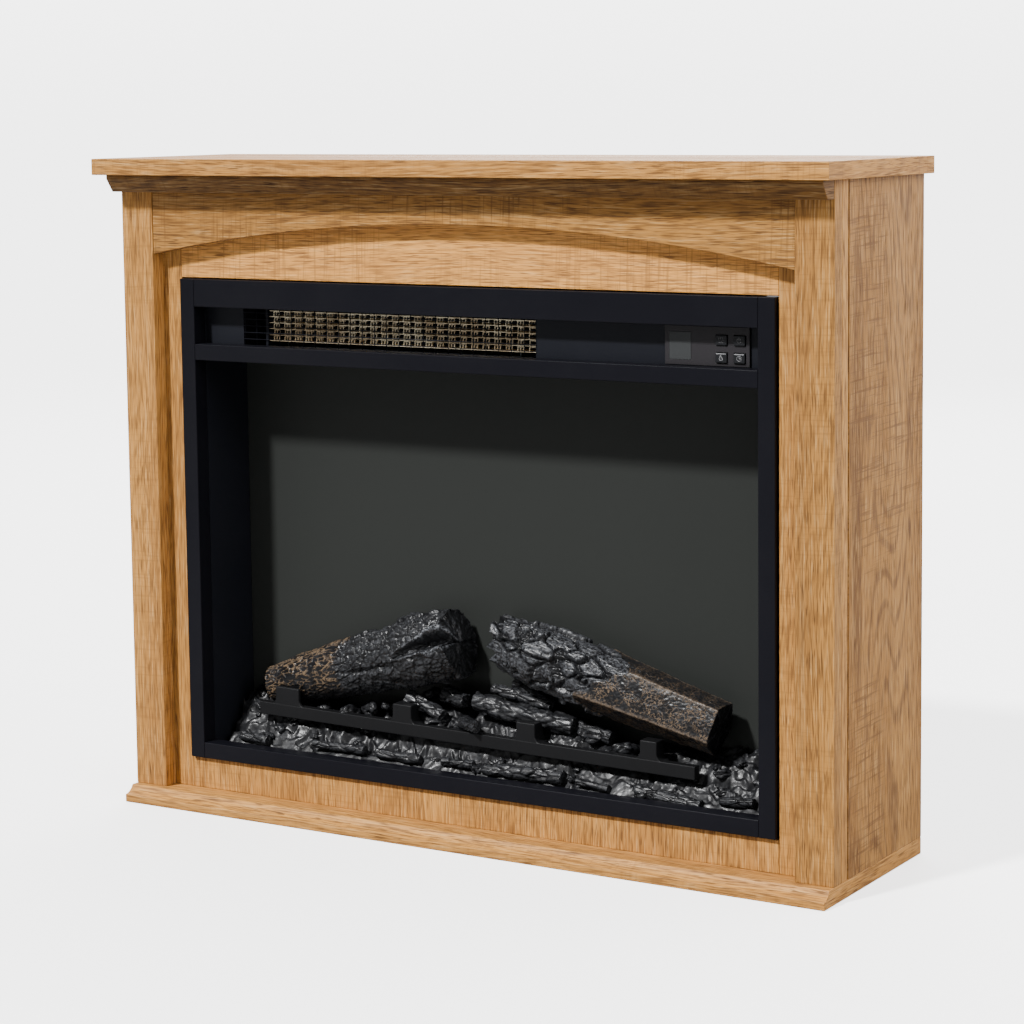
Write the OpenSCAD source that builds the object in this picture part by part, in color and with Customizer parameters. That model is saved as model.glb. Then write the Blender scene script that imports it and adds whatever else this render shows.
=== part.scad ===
// Electric fireplace: an oak-laminate mantel around a steel heater insert.
// Origin: centre of the footprint on the floor. +X is the viewer's right, -Y is the front, +Z is up.

/* [Mantel] */
// Width of the shelf, the widest piece
shelf_w = 800; // [760:1:1100]
// Depth of the shelf from back to front
shelf_d = 225; // [210:1:320]
// Height from the floor to the top of the shelf
mantel_h = 650; // [620:1:900]
// Thickness of the shelf, side panels and base board
board_t = 16; // [12:0.1:22]
// Back rails' thickness
rail_t = 16; // [12:0.1:16]
// Thickness of the boards around the insert
face_t = 12; // [9:0.1:18]
// Thickness of the stiles
stile_t = 16; // [12:0.1:20]
// Width of each stile
stile_w = 38; // [25:1:60]
// Overhang of the shelf at each end
shelf_over_side = 10; // [2:1:40]
// Overhang of the shelf in front of the stiles
shelf_over_front = 33; // [26:1:60]
// Shadow gap between a side panel and the face boards
shadow_gap = 2; // [0.5:0.1:4]
// How far the arch rail lies behind the front of the stiles
arch_setback = 1; // [0:0.1:4]
// Drop of the arch below the shelf at its ends
arch_end_drop = 78.5; // [60:0.5:120]
// Drop of the arch below the shelf at its crown
arch_mid_drop = 44.5; // [30:0.5:58]
// Height of the crown moulding
crown_h = 17; // [10:0.5:28]
// Reach of the crown moulding at its top
crown_reach = 23; // [15:0.5:25]
// Height of the upright lip on the crown moulding
crown_lip = 4; // [2:0.5:8]
// Reach of the base board in front of the stiles
base_reach = 19; // [15:0.5:25]
// Height of the upright lip on the base board
base_lip = 8; // [4:0.5:11]
// Radius of the cove cut along the base board
cove_r = 13; // [10:0.5:16]

/* [Insert] */
// Height of the face board below the insert
lower_board_h = 31; // [20:1:60]
// Clearance between the insert and the boards around it
reveal = 1; // [0.5:0.1:3]
// Width of the insert over its trim
insert_w = 656; // [600:1:700]
// Width of an upright trim bar
trim_w = 17; // [12:0.5:25]
// Height of the bottom trim bar
trim_bottom_h = 16; // [12:0.5:25]
// Height of the fire opening
fire_h = 386.5; // [360:0.5:420]
// Height of the middle trim bar
trim_middle_h = 16; // [12:0.5:25]
// Height of the heater slot
slot_h = 37; // [34:0.5:45]
// Height of the top trim bar
trim_top_h = 27.5; // [20:0.5:35]
// How far the trim stands in front of the face boards
trim_proud = 5; // [2:0.5:10]
// Thickness of the trim sheet
trim_t = 1.5; // [1:0.1:2]
// Thickness of the casing sheet
sheet_t = 1.2; // [0.8:0.1:1.6]
// How far the casing wall shows inside the trim
casing_step = 0.8; // [0.2:0.1:1]
// Depth of the casing
casing_depth = 146; // [140:1:160]
// Width of the casing flange behind the face boards
flange_w = 20; // [16:1:24]

/* [Firebox] */
// Distance from the casing front to the flame screen
screen_setback = 65; // [60:0.5:75]
// Thickness of the flame screen
screen_t = 3; // [2:0.5:4]
// Radius of the flame rotor rod
rotor_rod_r = 3; // [2:0.1:4]
// Reach of the rotor vanes from the rod's axis
vane_reach = 13; // [8:0.5:15]
// Number of rotor vanes
vane_count = 10; // [4:1:14]
// Height of the rotor axis above the casing floor
rotor_lift = 43; // [36:1:60]

/* [Heater] */
// Width of the outlet grille
grille_w = 338; // [300:1:345]
// Gap between the casing wall and the grille's left end
grille_inset = 46; // [40:1:60]
// Height of a heating element bank
element_h = 30; // [24:0.5:32]
// Radius of the blower wheel
wheel_r = 21; // [16:0.5:24]
// Radius of the blower shaft
shaft_r = 3; // [2:0.1:4]
// Clearance of a running shaft in its bush
running_gap = 0.05; // [0.02:0.01:0.1]

/* [Controls] */
// Width of the control panel
panel_w = 85; // [80:0.5:90]
// Thickness of the control panel
panel_t = 2.6; // [2:0.1:4]
// Gap between the control panel and the casing wall
panel_inset = 15.2; // [12:0.1:24]
// Width of a button cap
button_w = 11.4; // [9:0.1:12]
// Height of a button cap
button_h = 9; // [7:0.1:10]
// Travel of a button
button_travel = 1; // [0.5:0.1:1.5]
// Clearance around a button
button_gap = 0.3; // [0.2:0.05:0.5]

/* [Hidden] */
$fn = 48;
eps = 1;

// Colours
OAK = [0.78, 0.62, 0.42];
SATIN_BLACK = [0.07, 0.08, 0.10];
CASING_BLACK = [0.05, 0.06, 0.07];
STEEL = [0.62, 0.64, 0.66];
RESIN = [0.10, 0.10, 0.11];
BOARD_GREEN = [0.10, 0.32, 0.20];

// Depths are measured forward from the back of the shelf; y_at turns one into a Y coordinate.
function y_at(depth) = shelf_d / 2 - depth;

// Mantel planes
body_x = shelf_w / 2 - shelf_over_side;
stile_front = shelf_d - shelf_over_front;
face_front = stile_front - stile_t;
face_back = face_front - face_t;
side_front = face_back - shadow_gap;
side_x = body_x - board_t;
shelf_z = mantel_h - board_t;
opening_x = insert_w / 2 + reveal;
opening_z = board_t + lower_board_h;
cleat_w = 18;

// Insert planes
insert_x = insert_w / 2;
insert_z = opening_z + reveal;
fire_z = insert_z + trim_bottom_h;
middle_z = fire_z + fire_h;
slot_z = middle_z + trim_middle_h;
slot_top = slot_z + slot_h;
insert_top = slot_top + trim_top_h;
opening_top = insert_top + reveal;
trim_front = face_front + trim_proud;
inner_x = insert_x - trim_w;
wall_x = inner_x - casing_step;
casing_x = wall_x + sheet_t;
casing_front = face_back;
casing_back = casing_front - casing_depth;
floor_z = insert_z + sheet_t;
tab_w = 12;

// Firebox planes
screen_front = casing_front - screen_setback;
screen_back = screen_front - screen_t;
bed_back = screen_front + 0.6;
bed_front = casing_front - 3;
bed_x = wall_x - 8;
bed_lip_z = fire_z - 1;
rotor_depth = screen_front - 27;
rotor_z = floor_z + rotor_lift;

// Heater planes
duct_z = middle_z + 1.5;
duct_top = insert_top - sheet_t;
grille_x0 = -wall_x + grille_inset;
grille_x1 = grille_x0 + grille_w;
fascia_front = casing_front - 2;
fascia_back = fascia_front - sheet_t;
fascia_x = wall_x - 0.4;
element_x0 = grille_x0 + 22;
element_x1 = grille_x1 - 4;
element_z = slot_z + (slot_h - element_h) / 2;
element_front = fascia_back - 9;
element_back = element_front - 22;
wheel_depth = casing_front - 74;
wheel_z = (duct_z + duct_top) / 2;
wheel_x0 = grille_x0 + 34;
wheel_x1 = grille_x1 - 46;
housing_r = wheel_r + 7;
housing_x0 = wheel_x0 - 6;
housing_x1 = wheel_x1 + 6;
bush_r = 8;

// Control planes
panel_x1 = wall_x - panel_inset;
panel_x0 = panel_x1 - panel_w;
panel_z0 = slot_z + 0.3;
panel_z1 = slot_top - 1.5;
panel_front = fascia_front + panel_t;
window_x0 = panel_x0 + 4.5;
window_x1 = window_x0 + 22;
window_z0 = slot_z + 5;
window_z1 = window_z0 + 25;
button_pitch_x = 18;
button_pitch_z = 15.8;
button_x = panel_x1 - button_pitch_x - 9.6;
button_z = slot_z + 8;
button_proud = 1.8;
board_depth = fascia_front - 13;
inlet_x = wall_x - 60;
inlet_z = insert_z + 60;
inlet_bore_r = 3.75;

// Basic shapes, placed by depth

module slab(x0, x1, d0, d1, z0, z1) {
    translate([x0, y_at(d1), z0]) cube([x1 - x0, d1 - d0, z1 - z0]);
}

module rod_x(depth, z, x0, x1, r) {
    translate([x0, y_at(depth), z]) rotate([0, 90, 0]) cylinder(h = x1 - x0, r = r);
}

module rod_y(x, z, d0, d1, r) {
    translate([x, y_at(d0), z]) rotate([90, 0, 0]) cylinder(h = d1 - d0, r = r);
}

module rod_z(x, depth, z0, z1, r) {
    translate([x, y_at(depth), z0]) cylinder(h = z1 - z0, r = r);
}

// A section drawn in Y and Z, run along X
module along_x(x0, x1) {
    translate([x0, 0, 0]) rotate([90, 0, 90]) linear_extrude(height = x1 - x0) children();
}

module both_sides() {
    children();
    mirror([1, 0, 0]) children();
}

// Wooden mantel

dowel_r = 4;
dowel_len = 30;
dowel_bite = 10;
dowel_depths = [35, side_front - 35];

module dowel_set(r) {
    both_sides() for (depth = dowel_depths) {
        rod_z(body_x - board_t / 2, depth, shelf_z + dowel_bite - dowel_len, shelf_z + dowel_bite, r);
        rod_z(body_x - board_t / 2, depth, board_t - dowel_bite, board_t - dowel_bite + dowel_len, r);
    }
}

cam_r = 7.5;
cam_len = board_t - 4;
cam_zs = [board_t + 34, shelf_z - 34];

module cam_set(r, len) {
    both_sides() for (z = cam_zs)
        rod_x(side_front / 2, z, side_x, side_x + len, r);
}

module mantel_shelf() {
    color(OAK) difference() {
        slab(-shelf_w / 2, shelf_w / 2, 0, shelf_d, shelf_z, mantel_h);
        dowel_set(dowel_r + 0.05);
    }
}

module crown_moulding() {
    top = shelf_z;
    foot = shelf_z - crown_h;
    color(OAK) along_x(-body_x, body_x) polygon([
        [y_at(stile_front), foot],
        [y_at(stile_front), top],
        [y_at(stile_front + crown_reach), top],
        [y_at(stile_front + crown_reach), top - crown_lip],
        [y_at(stile_front + crown_reach - 9), foot]
    ]);
}

module side_panel() {
    difference() {
        slab(side_x, body_x, 0, side_front, board_t, shelf_z);
        dowel_set(dowel_r + 0.05);
        cam_set(cam_r + 0.1, cam_len);
    }
}

module side_panel_left() { color(OAK) mirror([1, 0, 0]) side_panel(); }
module side_panel_right() { color(OAK) side_panel(); }

module stile() {
    slab(body_x - stile_w, body_x, face_front, stile_front, board_t, shelf_z);
}

module stile_left() { color(OAK) mirror([1, 0, 0]) stile(); }
module stile_right() { color(OAK) stile(); }

arch_x = body_x - stile_w;
arch_rise = arch_end_drop - arch_mid_drop;
arch_r = (arch_x * arch_x + arch_rise * arch_rise) / (2 * arch_rise);

module arch_rail() {
    color(OAK) difference() {
        slab(-arch_x, arch_x, face_front, stile_front - arch_setback, shelf_z - arch_end_drop, shelf_z);
        translate([0, y_at(face_front - eps), shelf_z - arch_mid_drop - arch_r])
            rotate([90, 0, 0]) cylinder(h = stile_t + 2 * eps, r = arch_r, $fn = 720);
    }
}

mount_rows = 4;
mount_x = opening_x + 8;
mount_z0 = insert_z + 20;
mount_step = (insert_top - 20 - mount_z0) / (mount_rows - 1);
screw_r = 1.75;
mount_screw_len = 10;

// Screws that hold the casing flanges to the face boards
module mount_holes(d0, d1, r) {
    both_sides() for (row = [0:mount_rows - 1])
        rod_y(mount_x, mount_z0 + row * mount_step, d0, d1, r);
}

module face_strip() {
    difference() {
        slab(opening_x, body_x, face_back, face_front, board_t, shelf_z);
        mount_holes(face_back - eps, face_back - sheet_t + mount_screw_len, screw_r + 0.05);
    }
}

module face_strip_left() { color(OAK) mirror([1, 0, 0]) face_strip(); }
module face_strip_right() { color(OAK) face_strip(); }

module face_board_top() {
    color(OAK) slab(-opening_x, opening_x, face_back, face_front, opening_top, shelf_z);
}

module face_board_bottom() {
    color(OAK) slab(-opening_x, opening_x, face_back, face_front, board_t, opening_z);
}

module base_board() {
    front = stile_front + base_reach;
    color(OAK) difference() {
        slab(-body_x, body_x, 0, front, 0, board_t);
        translate([0, 0, base_lip + sqrt(cove_r * cove_r - 1)])
            rod_x(front + 1, 0, -body_x - eps, body_x + eps, cove_r);
        dowel_set(dowel_r + 0.05);
    }
}

rail_h = 60;

module back_rail_top() {
    color(OAK) slab(-side_x, side_x, 0, rail_t, shelf_z - rail_h, shelf_z);
}

module back_rail_bottom() {
    color(OAK) slab(-side_x, side_x, 0, rail_t, board_t, board_t + rail_h);
}

module corner_cleats() {
    color(OAK) both_sides()
        slab(side_x - cleat_w, side_x, face_back - cleat_w, face_back, board_t, shelf_z);
}

module dowels() { color("burlywood") dowel_set(dowel_r); }
module cam_locks() { color(STEEL) cam_set(cam_r, cam_len); }

// Trim: pressed covers, open at the back

module trim_bar(x0, x1, z0, z1) {
    color(SATIN_BLACK) difference() {
        slab(x0, x1, casing_front, trim_front, z0, z1);
        slab(x0 + trim_t, x1 - trim_t, casing_front - eps, trim_front - trim_t, z0 + trim_t, z1 - trim_t);
    }
}

module trim_left() { trim_bar(-insert_x, -inner_x, insert_z, insert_top); }
module trim_right() { trim_bar(inner_x, insert_x, insert_z, insert_top); }
module trim_top() { trim_bar(-inner_x, inner_x, slot_top, insert_top); }
module trim_middle() { trim_bar(-inner_x, inner_x, middle_z, slot_z); }
module trim_bottom() { trim_bar(-inner_x, inner_x, insert_z, fire_z); }

// Casing of folded sheet

cover_rows = 3;
cover_z0 = insert_z + 40;
cover_step = (insert_top - 40 - cover_z0) / (cover_rows - 1);
cover_x = wall_x - tab_w / 2;
cover_screw_len = 8;

module cover_holes(d0, d1, r) {
    both_sides() for (row = [0:cover_rows - 1])
        rod_y(cover_x, cover_z0 + row * cover_step, d0, d1, r);
}

module casing_side() {
    difference() {
        union() {
            slab(wall_x, casing_x, casing_back, casing_front, floor_z, insert_top - sheet_t);
            slab(wall_x, casing_x + flange_w + 8, casing_front - sheet_t, casing_front,
                floor_z, insert_top - sheet_t);
            slab(wall_x - tab_w, casing_x, casing_back, casing_back + sheet_t,
                floor_z + 2, insert_top - sheet_t - 2);
        }
        mount_holes(casing_front - 2 * sheet_t, casing_front + eps, screw_r + 0.3);
        cover_holes(casing_back - eps, casing_back + 2 * sheet_t, screw_r + 0.05);
    }
}

module casing_left() { color(CASING_BLACK) mirror([1, 0, 0]) casing_side(); }
module casing_right() { color(CASING_BLACK) casing_side(); }

module casing_top() {
    color(CASING_BLACK) {
        slab(-casing_x, casing_x, casing_back, casing_front, insert_top - sheet_t, insert_top);
        slab(-casing_x, casing_x, casing_front - sheet_t, casing_front, insert_top, insert_top + flange_w);
    }
}

module casing_bottom() {
    color(CASING_BLACK) {
        slab(-casing_x, casing_x, casing_back, casing_front, insert_z, floor_z);
        slab(-casing_x, casing_x, casing_front - sheet_t, casing_front, insert_z - flange_w, insert_z);
    }
}

vent_w = 26;
vent_h = 3.5;

module vent_field(x0, columns, z0, rows) {
    for (column = [0:columns - 1], row = [0:rows - 1])
        translate([x0 + column * (vent_w + 8), 0, z0 + row * (vent_h + 5)])
            slab(0, vent_w, casing_back - sheet_t - eps, casing_back + eps, 0, vent_h);
}

module rear_cover() {
    color(STEEL) difference() {
        slab(-casing_x, casing_x, casing_back - sheet_t, casing_back, insert_z, insert_top);
        vent_field(wheel_x0, 6, duct_z + 16, 6);
        vent_field(-inlet_x + 20, 4, inlet_z - 14, 4);
        cover_holes(casing_back - sheet_t - eps, casing_back + eps, screw_r + 0.3);
        rod_y(inlet_x, inlet_z, casing_back - sheet_t - eps, casing_back + eps, 7.05);
    }
}

module screw(x, z, head_depth, len) {
    rod_y(x, z, head_depth - 2.2, head_depth, 3.6);
    rod_y(x, z, head_depth - 0.5, head_depth + len, screw_r);
}

module mounting_screws() {
    color(STEEL) both_sides() for (row = [0:mount_rows - 1])
        screw(mount_x, mount_z0 + row * mount_step, casing_front - sheet_t, mount_screw_len - 1);
}

module cover_screws() {
    color(STEEL) both_sides() for (row = [0:cover_rows - 1])
        screw(cover_x, cover_z0 + row * cover_step, casing_back - sheet_t, cover_screw_len);
}

module cord_inlet() {
    back = casing_back - sheet_t;
    color(CASING_BLACK) difference() {
        union() {
            rod_y(inlet_x, inlet_z, back - 3, back, 10);
            rod_y(inlet_x, inlet_z, back - 3, casing_back + 8, 7);
            rod_y(inlet_x, inlet_z, casing_back, casing_back + 3, 10);
        }
        rod_y(inlet_x, inlet_z, back - 3 - eps, casing_back + 8 + eps, inlet_bore_r);
    }
}

// Heater duct

module duct_plate() {
    color(CASING_BLACK)
        slab(-fascia_x, fascia_x, casing_back + 2 * sheet_t, casing_front - 0.4, duct_z, duct_z + sheet_t);
}

module fascia_plate() {
    low = duct_z + sheet_t;
    high = slot_top + 4;
    color(SATIN_BLACK) difference() {
        union() {
            slab(-fascia_x, grille_x0, fascia_back, fascia_front, low, high);
            slab(grille_x1, fascia_x, fascia_back, fascia_front, low, high);
        }
        slab(panel_x0 + 3, panel_x1 - 2.4, fascia_back - eps, fascia_front + eps, slot_z + 1.5, slot_top - 3);
    }
}

grille_rows = 6;
grille_columns = 15;
wire_t = 1.2;

module outlet_grille() {
    low = slot_z - 1.5;
    high = slot_top + 1.5;
    color(CASING_BLACK) {
        for (row = [0:grille_rows - 1])
            translate([0, 0, low + row * (high - low - wire_t) / (grille_rows - 1)])
                slab(grille_x0 + 0.2, grille_x1 - 0.2, fascia_back, fascia_back + wire_t, 0, wire_t);
        for (column = [0:grille_columns - 1])
            translate([grille_x0 + 0.2 + column * (grille_w - 0.4 - wire_t) / (grille_columns - 1), 0, 0])
                slab(0, wire_t, fascia_back - wire_t, fascia_back + 0.2, low, high);
    }
}

fin_pitch = 6;
element_rows = 3;

module heater_element() {
    fins = floor((element_x1 - element_x0 - 16) / fin_pitch);
    color("silver") {
        for (row = [0:element_rows - 1])
            translate([0, 0, element_z + 3 + row * (element_h - 10) / (element_rows - 1)])
                slab(element_x0 + 2, element_x1 - 2, element_back + 5, element_front - 5, 0, 4);
        for (fin = [0:fins])
            translate([element_x0 + 8 + fin * fin_pitch, 0, 0])
                slab(0, 0.6, element_back, element_front, element_z, element_z + element_h);
    }
}

module heater_brackets() {
    color(STEEL) for (x = [element_x0 - 1, element_x1 - 2])
        slab(x, x + 3, element_back - 2, element_front + 2, duct_z + sheet_t, element_z + element_h + 4);
}

module thermal_cutout() {
    x = (element_x0 + element_x1) / 2 + 60;
    depth = (element_front + element_back) / 2;
    color(STEEL) {
        rod_z(x, depth, duct_top - 3, duct_top, 12);
        rod_z(x, depth, duct_top - 13, duct_top - 3, 8);
    }
}

// Scroll around the blower wheel, with an end plate at each end
module blower_housing() {
    hang_top = duct_top;
    lip_front = wheel_depth + housing_r + 8;
    color(STEEL) {
        along_x(housing_x0, housing_x1) difference() {
            translate([y_at(wheel_depth), wheel_z]) circle(r = housing_r + sheet_t);
            translate([y_at(wheel_depth), wheel_z]) circle(r = housing_r);
            translate([y_at(wheel_depth + housing_r + 2), wheel_z - housing_r - 2])
                square([housing_r + 2, 2 * housing_r + 4]);
            translate([y_at(wheel_depth) - 1, wheel_z + housing_r / 2]) square([housing_r + 4, housing_r]);
        }
        slab(housing_x0, housing_x1, wheel_depth - eps / 2, lip_front,
            wheel_z - housing_r - sheet_t, wheel_z - housing_r);
        for (x = [housing_x0 - sheet_t, housing_x1]) difference() {
            slab(x, x + sheet_t, wheel_depth - housing_r - sheet_t, lip_front,
                wheel_z - housing_r - sheet_t, hang_top);
            rod_x(wheel_depth, wheel_z, x - eps, x + sheet_t + eps, bush_r + 0.05);
        }
    }
}

blade_count = 14;
ring_count = 4;

module blower_wheel() {
    ring_step = (wheel_x1 - wheel_x0 - 1.5) / (ring_count - 1);
    color("dimgray") {
        for (ring = [0:ring_count - 1])
            rod_x(wheel_depth, wheel_z, wheel_x0 + ring * ring_step, wheel_x0 + ring * ring_step + 1.5, wheel_r);
        for (blade = [0:blade_count - 1])
            translate([wheel_x0, y_at(wheel_depth), wheel_z]) rotate([blade * 360 / blade_count, 0, 0])
                translate([0, -0.5, wheel_r - 7.5]) cube([wheel_x1 - wheel_x0, 1, 7]);
        rod_x(wheel_depth, wheel_z, housing_x0 - 12, housing_x1 + 30, shaft_r);
    }
}

module blower_motor() {
    face_x = housing_x1 + sheet_t;
    color("darkgray") difference() {
        union() {
            rod_x(wheel_depth, wheel_z, face_x, face_x + 4, bush_r + 6);
            rod_x(wheel_depth, wheel_z, face_x + 4, face_x + 36, 20);
        }
        rod_x(wheel_depth, wheel_z, face_x - eps, housing_x1 + 32, shaft_r + running_gap);
    }
}

module blower_bush() {
    face_x = housing_x0 - sheet_t;
    color("goldenrod") difference() {
        union() {
            rod_x(wheel_depth, wheel_z, face_x - 14, face_x, bush_r + 3);
            rod_x(wheel_depth, wheel_z, face_x, face_x + sheet_t, bush_r);
        }
        rod_x(wheel_depth, wheel_z, housing_x0 - 13, face_x + sheet_t + eps, shaft_r + running_gap);
    }
}

// Controls

module button_place(column, row) {
    translate([button_x + column * button_pitch_x, 0, button_z + row * button_pitch_z]) children();
}

module button_sites() {
    for (column = [0, 1], row = [0, 1]) button_place(column, row) children();
}

module control_panel() {
    color(SATIN_BLACK) difference() {
        union() {
            slab(panel_x0, panel_x1, fascia_front, panel_front, panel_z0, panel_z1);
            for (x = [window_x1 + 5, button_x - 13], z = [slot_z + 6, slot_top - 8])
                rod_y(x, z, board_depth + 1.6, fascia_front + 0.5, 1.6);
        }
        slab(window_x0 - 0.1, window_x1 + 0.1, fascia_front - eps, panel_front + eps,
            window_z0 - 0.1, window_z1 + 0.1);
        button_sites() slab(-button_w / 2 - button_gap, button_w / 2 + button_gap, fascia_front - eps,
            panel_front + eps, -button_h / 2 - button_gap, button_h / 2 + button_gap);
    }
}

module display_window() {
    color("darkslategray")
        slab(window_x0, window_x1, fascia_front, panel_front + 0.2, window_z0, window_z1);
}

module button_cap() {
    color([0.12, 0.12, 0.13]) {
        slab(-button_w / 2, button_w / 2, fascia_front - 0.5, panel_front + button_proud,
            -button_h / 2, button_h / 2);
        slab(-button_w / 2 - 0.8, button_w / 2 + 0.8, fascia_front - 1.4, fascia_front - 0.1,
            -button_h / 2 - 0.8, button_h / 2 + 0.8);
        rod_y(0, 0, board_depth + 1.6 + 1.5 + button_travel + 0.3, fascia_front - 1, 2);
    }
}

module button_heat() { button_place(0, 1) button_cap(); }
module button_power() { button_place(1, 1) button_cap(); }
module button_flame() { button_place(0, 0) button_cap(); }
module button_timer() { button_place(1, 0) button_cap(); }

module control_board() {
    color(BOARD_GREEN) {
        slab(panel_x0 + 2, panel_x1 - 1, board_depth, board_depth + 1.6, slot_z + 0.5, slot_top - 2);
        button_sites() slab(-3, 3, board_depth + 1.5, board_depth + 3.1, -3, 3);
        slab(window_x0 + 2, window_x1 - 2, board_depth + 1.5, board_depth + 7, window_z0 + 2, window_z1 - 2);
    }
}

module power_board() {
    x0 = panel_x0 - 100;
    x1 = x0 + 90;
    d0 = casing_back + 40;
    d1 = d0 + 68;
    z = duct_z + sheet_t + 8;
    color(BOARD_GREEN) {
        for (x = [x0 + 5, x1 - 5], depth = [d0 + 5, d1 - 5])
            rod_z(x, depth, duct_z + sheet_t, z + 0.8, 2.5);
        slab(x0, x1, d0, d1, z, z + 1.6);
        slab(x0 + 12, x0 + 42, d0 + 10, d0 + 36, z + 1.5, z + 26);
        slab(x0 + 52, x0 + 70, d0 + 12, d0 + 28, z + 1.5, z + 17);
        slab(x0 + 50, x0 + 82, d0 + 42, d0 + 52, z + 1.5, z + 13);
        rod_z(x0 + 24, d0 + 52, z + 1.5, z + 22, 6.5);
    }
}

// Flame effect

module flame_screen() {
    color([0.20, 0.20, 0.19])
        slab(-fascia_x, fascia_x, screen_back, screen_front, floor_z + 8, duct_z - 0.5);
}

rotor_x0 = -wall_x + 2;
rotor_x1 = wall_x - 40;
vane_x0 = -wall_x + 18;
vane_x1 = rotor_x1 - 14;

module flame_rotor() {
    pitch = (vane_x1 - vane_x0) / vane_count;
    color("silver") {
        rod_x(rotor_depth, rotor_z, rotor_x0, rotor_x1, rotor_rod_r);
        for (vane = [0:vane_count - 1])
            translate([vane_x0 + vane * pitch, y_at(rotor_depth), rotor_z]) rotate([vane * 50, 0, 0])
                translate([0, -0.5, -vane_reach]) cube([pitch * 0.7, 1, 2 * vane_reach]);
    }
}

module rotor_motor() {
    x0 = vane_x1 + 4;
    color("darkgray") difference() {
        union() {
            rod_x(rotor_depth, rotor_z, x0, x0 + 4, 10);
            rod_x(rotor_depth, rotor_z, x0 + 4, x0 + 30, 17);
            slab(x0 + 6, x0 + 24, rotor_depth - 12, rotor_depth + 12, floor_z, rotor_z - 8);
        }
        rod_x(rotor_depth, rotor_z, x0 - eps, rotor_x1 + 2, rotor_rod_r + running_gap);
    }
}

module rotor_bush() {
    color(STEEL) difference() {
        rod_x(rotor_depth, rotor_z, -wall_x, -wall_x + 12, 9);
        rod_x(rotor_depth, rotor_z, -wall_x + 1, -wall_x + 12 + eps, rotor_rod_r + running_gap);
    }
}

led_count = 16;

module led_strip() {
    x0 = vane_x0;
    pitch = (vane_x1 - vane_x0) / led_count;
    color(BOARD_GREEN) {
        slab(x0, vane_x1, rotor_depth - 10, rotor_depth + 10, floor_z, floor_z + 1.6);
        for (led = [0:led_count - 1])
            translate([x0 + (led + 0.5) * pitch, 0, 0])
                slab(-2.5, 2.5, rotor_depth - 2.5, rotor_depth + 2.5, floor_z + 1.5, floor_z + 3.4);
    }
}

module reflector_plate() {
    foot = casing_back + 12;
    color(STEEL) {
        slab(-fascia_x, fascia_x, foot, foot + sheet_t, floor_z, duct_z - 6);
        slab(-fascia_x, fascia_x, foot, foot + 16, floor_z, floor_z + sheet_t);
    }
}

// Log set

grate_len = 500;
grate_bar_h = 12.8;
grate_bar_t = 9;
grate_depth = casing_front - 21.5;
grate_z = floor_z + 44.4;
grate_x = -19;

// Each post that stands on the grate's bar: [x, width, front-to-back size]
posts = [[-215.5, 29, 4.5], [-76, 22, 17], [66.5, 21, 17], [200.5, 18, 15]];
post_h = 24;

// The grate leans a little, as the moulding it stands on does
module on_grate() {
    translate([grate_x, y_at(grate_depth), grate_z]) rotate([0, 0.84, -0.8]) children();
}

// slack widens the solid, so that the bed can be cut round it
module grate_shape(slack) {
    tie_len = 18;
    on_grate() {
        cube([grate_len + 2 * slack, grate_bar_t + 2 * slack, grate_bar_h + 2 * slack], center = true);
        for (post = posts) {
            translate([post[0] - post[1] / 2 - slack, -grate_bar_t / 2 - slack, 0])
                cube([post[1] + 2 * slack, post[2] + 2 * slack, post_h + slack]);
            translate([post[0] - 4 - slack, 0, -grate_bar_h / 2 - slack])
                cube([8 + 2 * slack, tie_len + slack, 8 + 2 * slack]);
        }
    }
}

module grate() { color(RESIN) grate_shape(0); }

peg_r = 5;
peg_z0 = floor_z + 14;

// A log is a round bar that tapers between its two ends: [x, depth, z, radius]
log_left_ends = [[-268, 18, 66, 17.5], [-36, 33.5, 134.5, 32.5]];
log_right_ends = [[14, 31.5, 140, 30], [247, 31.5, 80, 27]];

// The short sticks heaped in the middle of the bed, given in the same way
sticks = [
    [[-20, 29, 77, 9], [88, 25, 64, 6.5]],
    [[-6, 14, 88, 6.5], [58, 19, 79, 6]],
    [[-96, 29, 72, 8], [-50, 33, 62, 7]]
];

// Each peg that holds a log to the bed: [x, depth, top]
log_left_pegs = [[-205, 22, 82], [-72, 30, 118]];
log_right_pegs = [[80, 32, 125], [205, 32, 88]];

function end_at(end) = [end[0], y_at(screen_front + end[1]), floor_z + end[2]];

module tapered_log(ends) {
    start = end_at(ends[0]);
    run = end_at(ends[1]) - start;
    len = norm(run);
    translate(start) rotate([0, acos(run[2] / len), atan2(run[1], run[0])])
        cylinder(h = len, r1 = ends[0][3], r2 = ends[1][3]);
}

module pegs(sites, r) {
    for (site = sites) rod_z(site[0], screen_front + site[1], peg_z0, floor_z + site[2], r);
}

module log_left() {
    color(RESIN) {
        tapered_log(log_left_ends);
        pegs(log_left_pegs, peg_r);
    }
}

module log_right() {
    color(RESIN) {
        tapered_log(log_right_ends);
        pegs(log_right_pegs, peg_r);
    }
}

// The bed's slope, with the heap of coals and sticks in its middle
module bed_heap() {
    along_x(-bed_x, bed_x) polygon([
        [y_at(bed_back), floor_z],
        [y_at(bed_front), floor_z],
        [y_at(bed_front), bed_lip_z],
        [y_at(bed_front - 6), bed_lip_z + 8],
        [y_at(bed_front - 15), bed_lip_z + 21],
        [y_at(bed_front - 25), bed_lip_z + 29],
        [y_at(bed_back + 12), bed_lip_z + 40],
        [y_at(bed_back), bed_lip_z + 45]
    ]);
    slab(-112, 96, bed_back, bed_back + 34, floor_z + 20, floor_z + 67);
    slab(-12, 64, bed_back, bed_back + 24, floor_z + 60, floor_z + 76);
    for (stick = sticks) tapered_log(stick);
}

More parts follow.
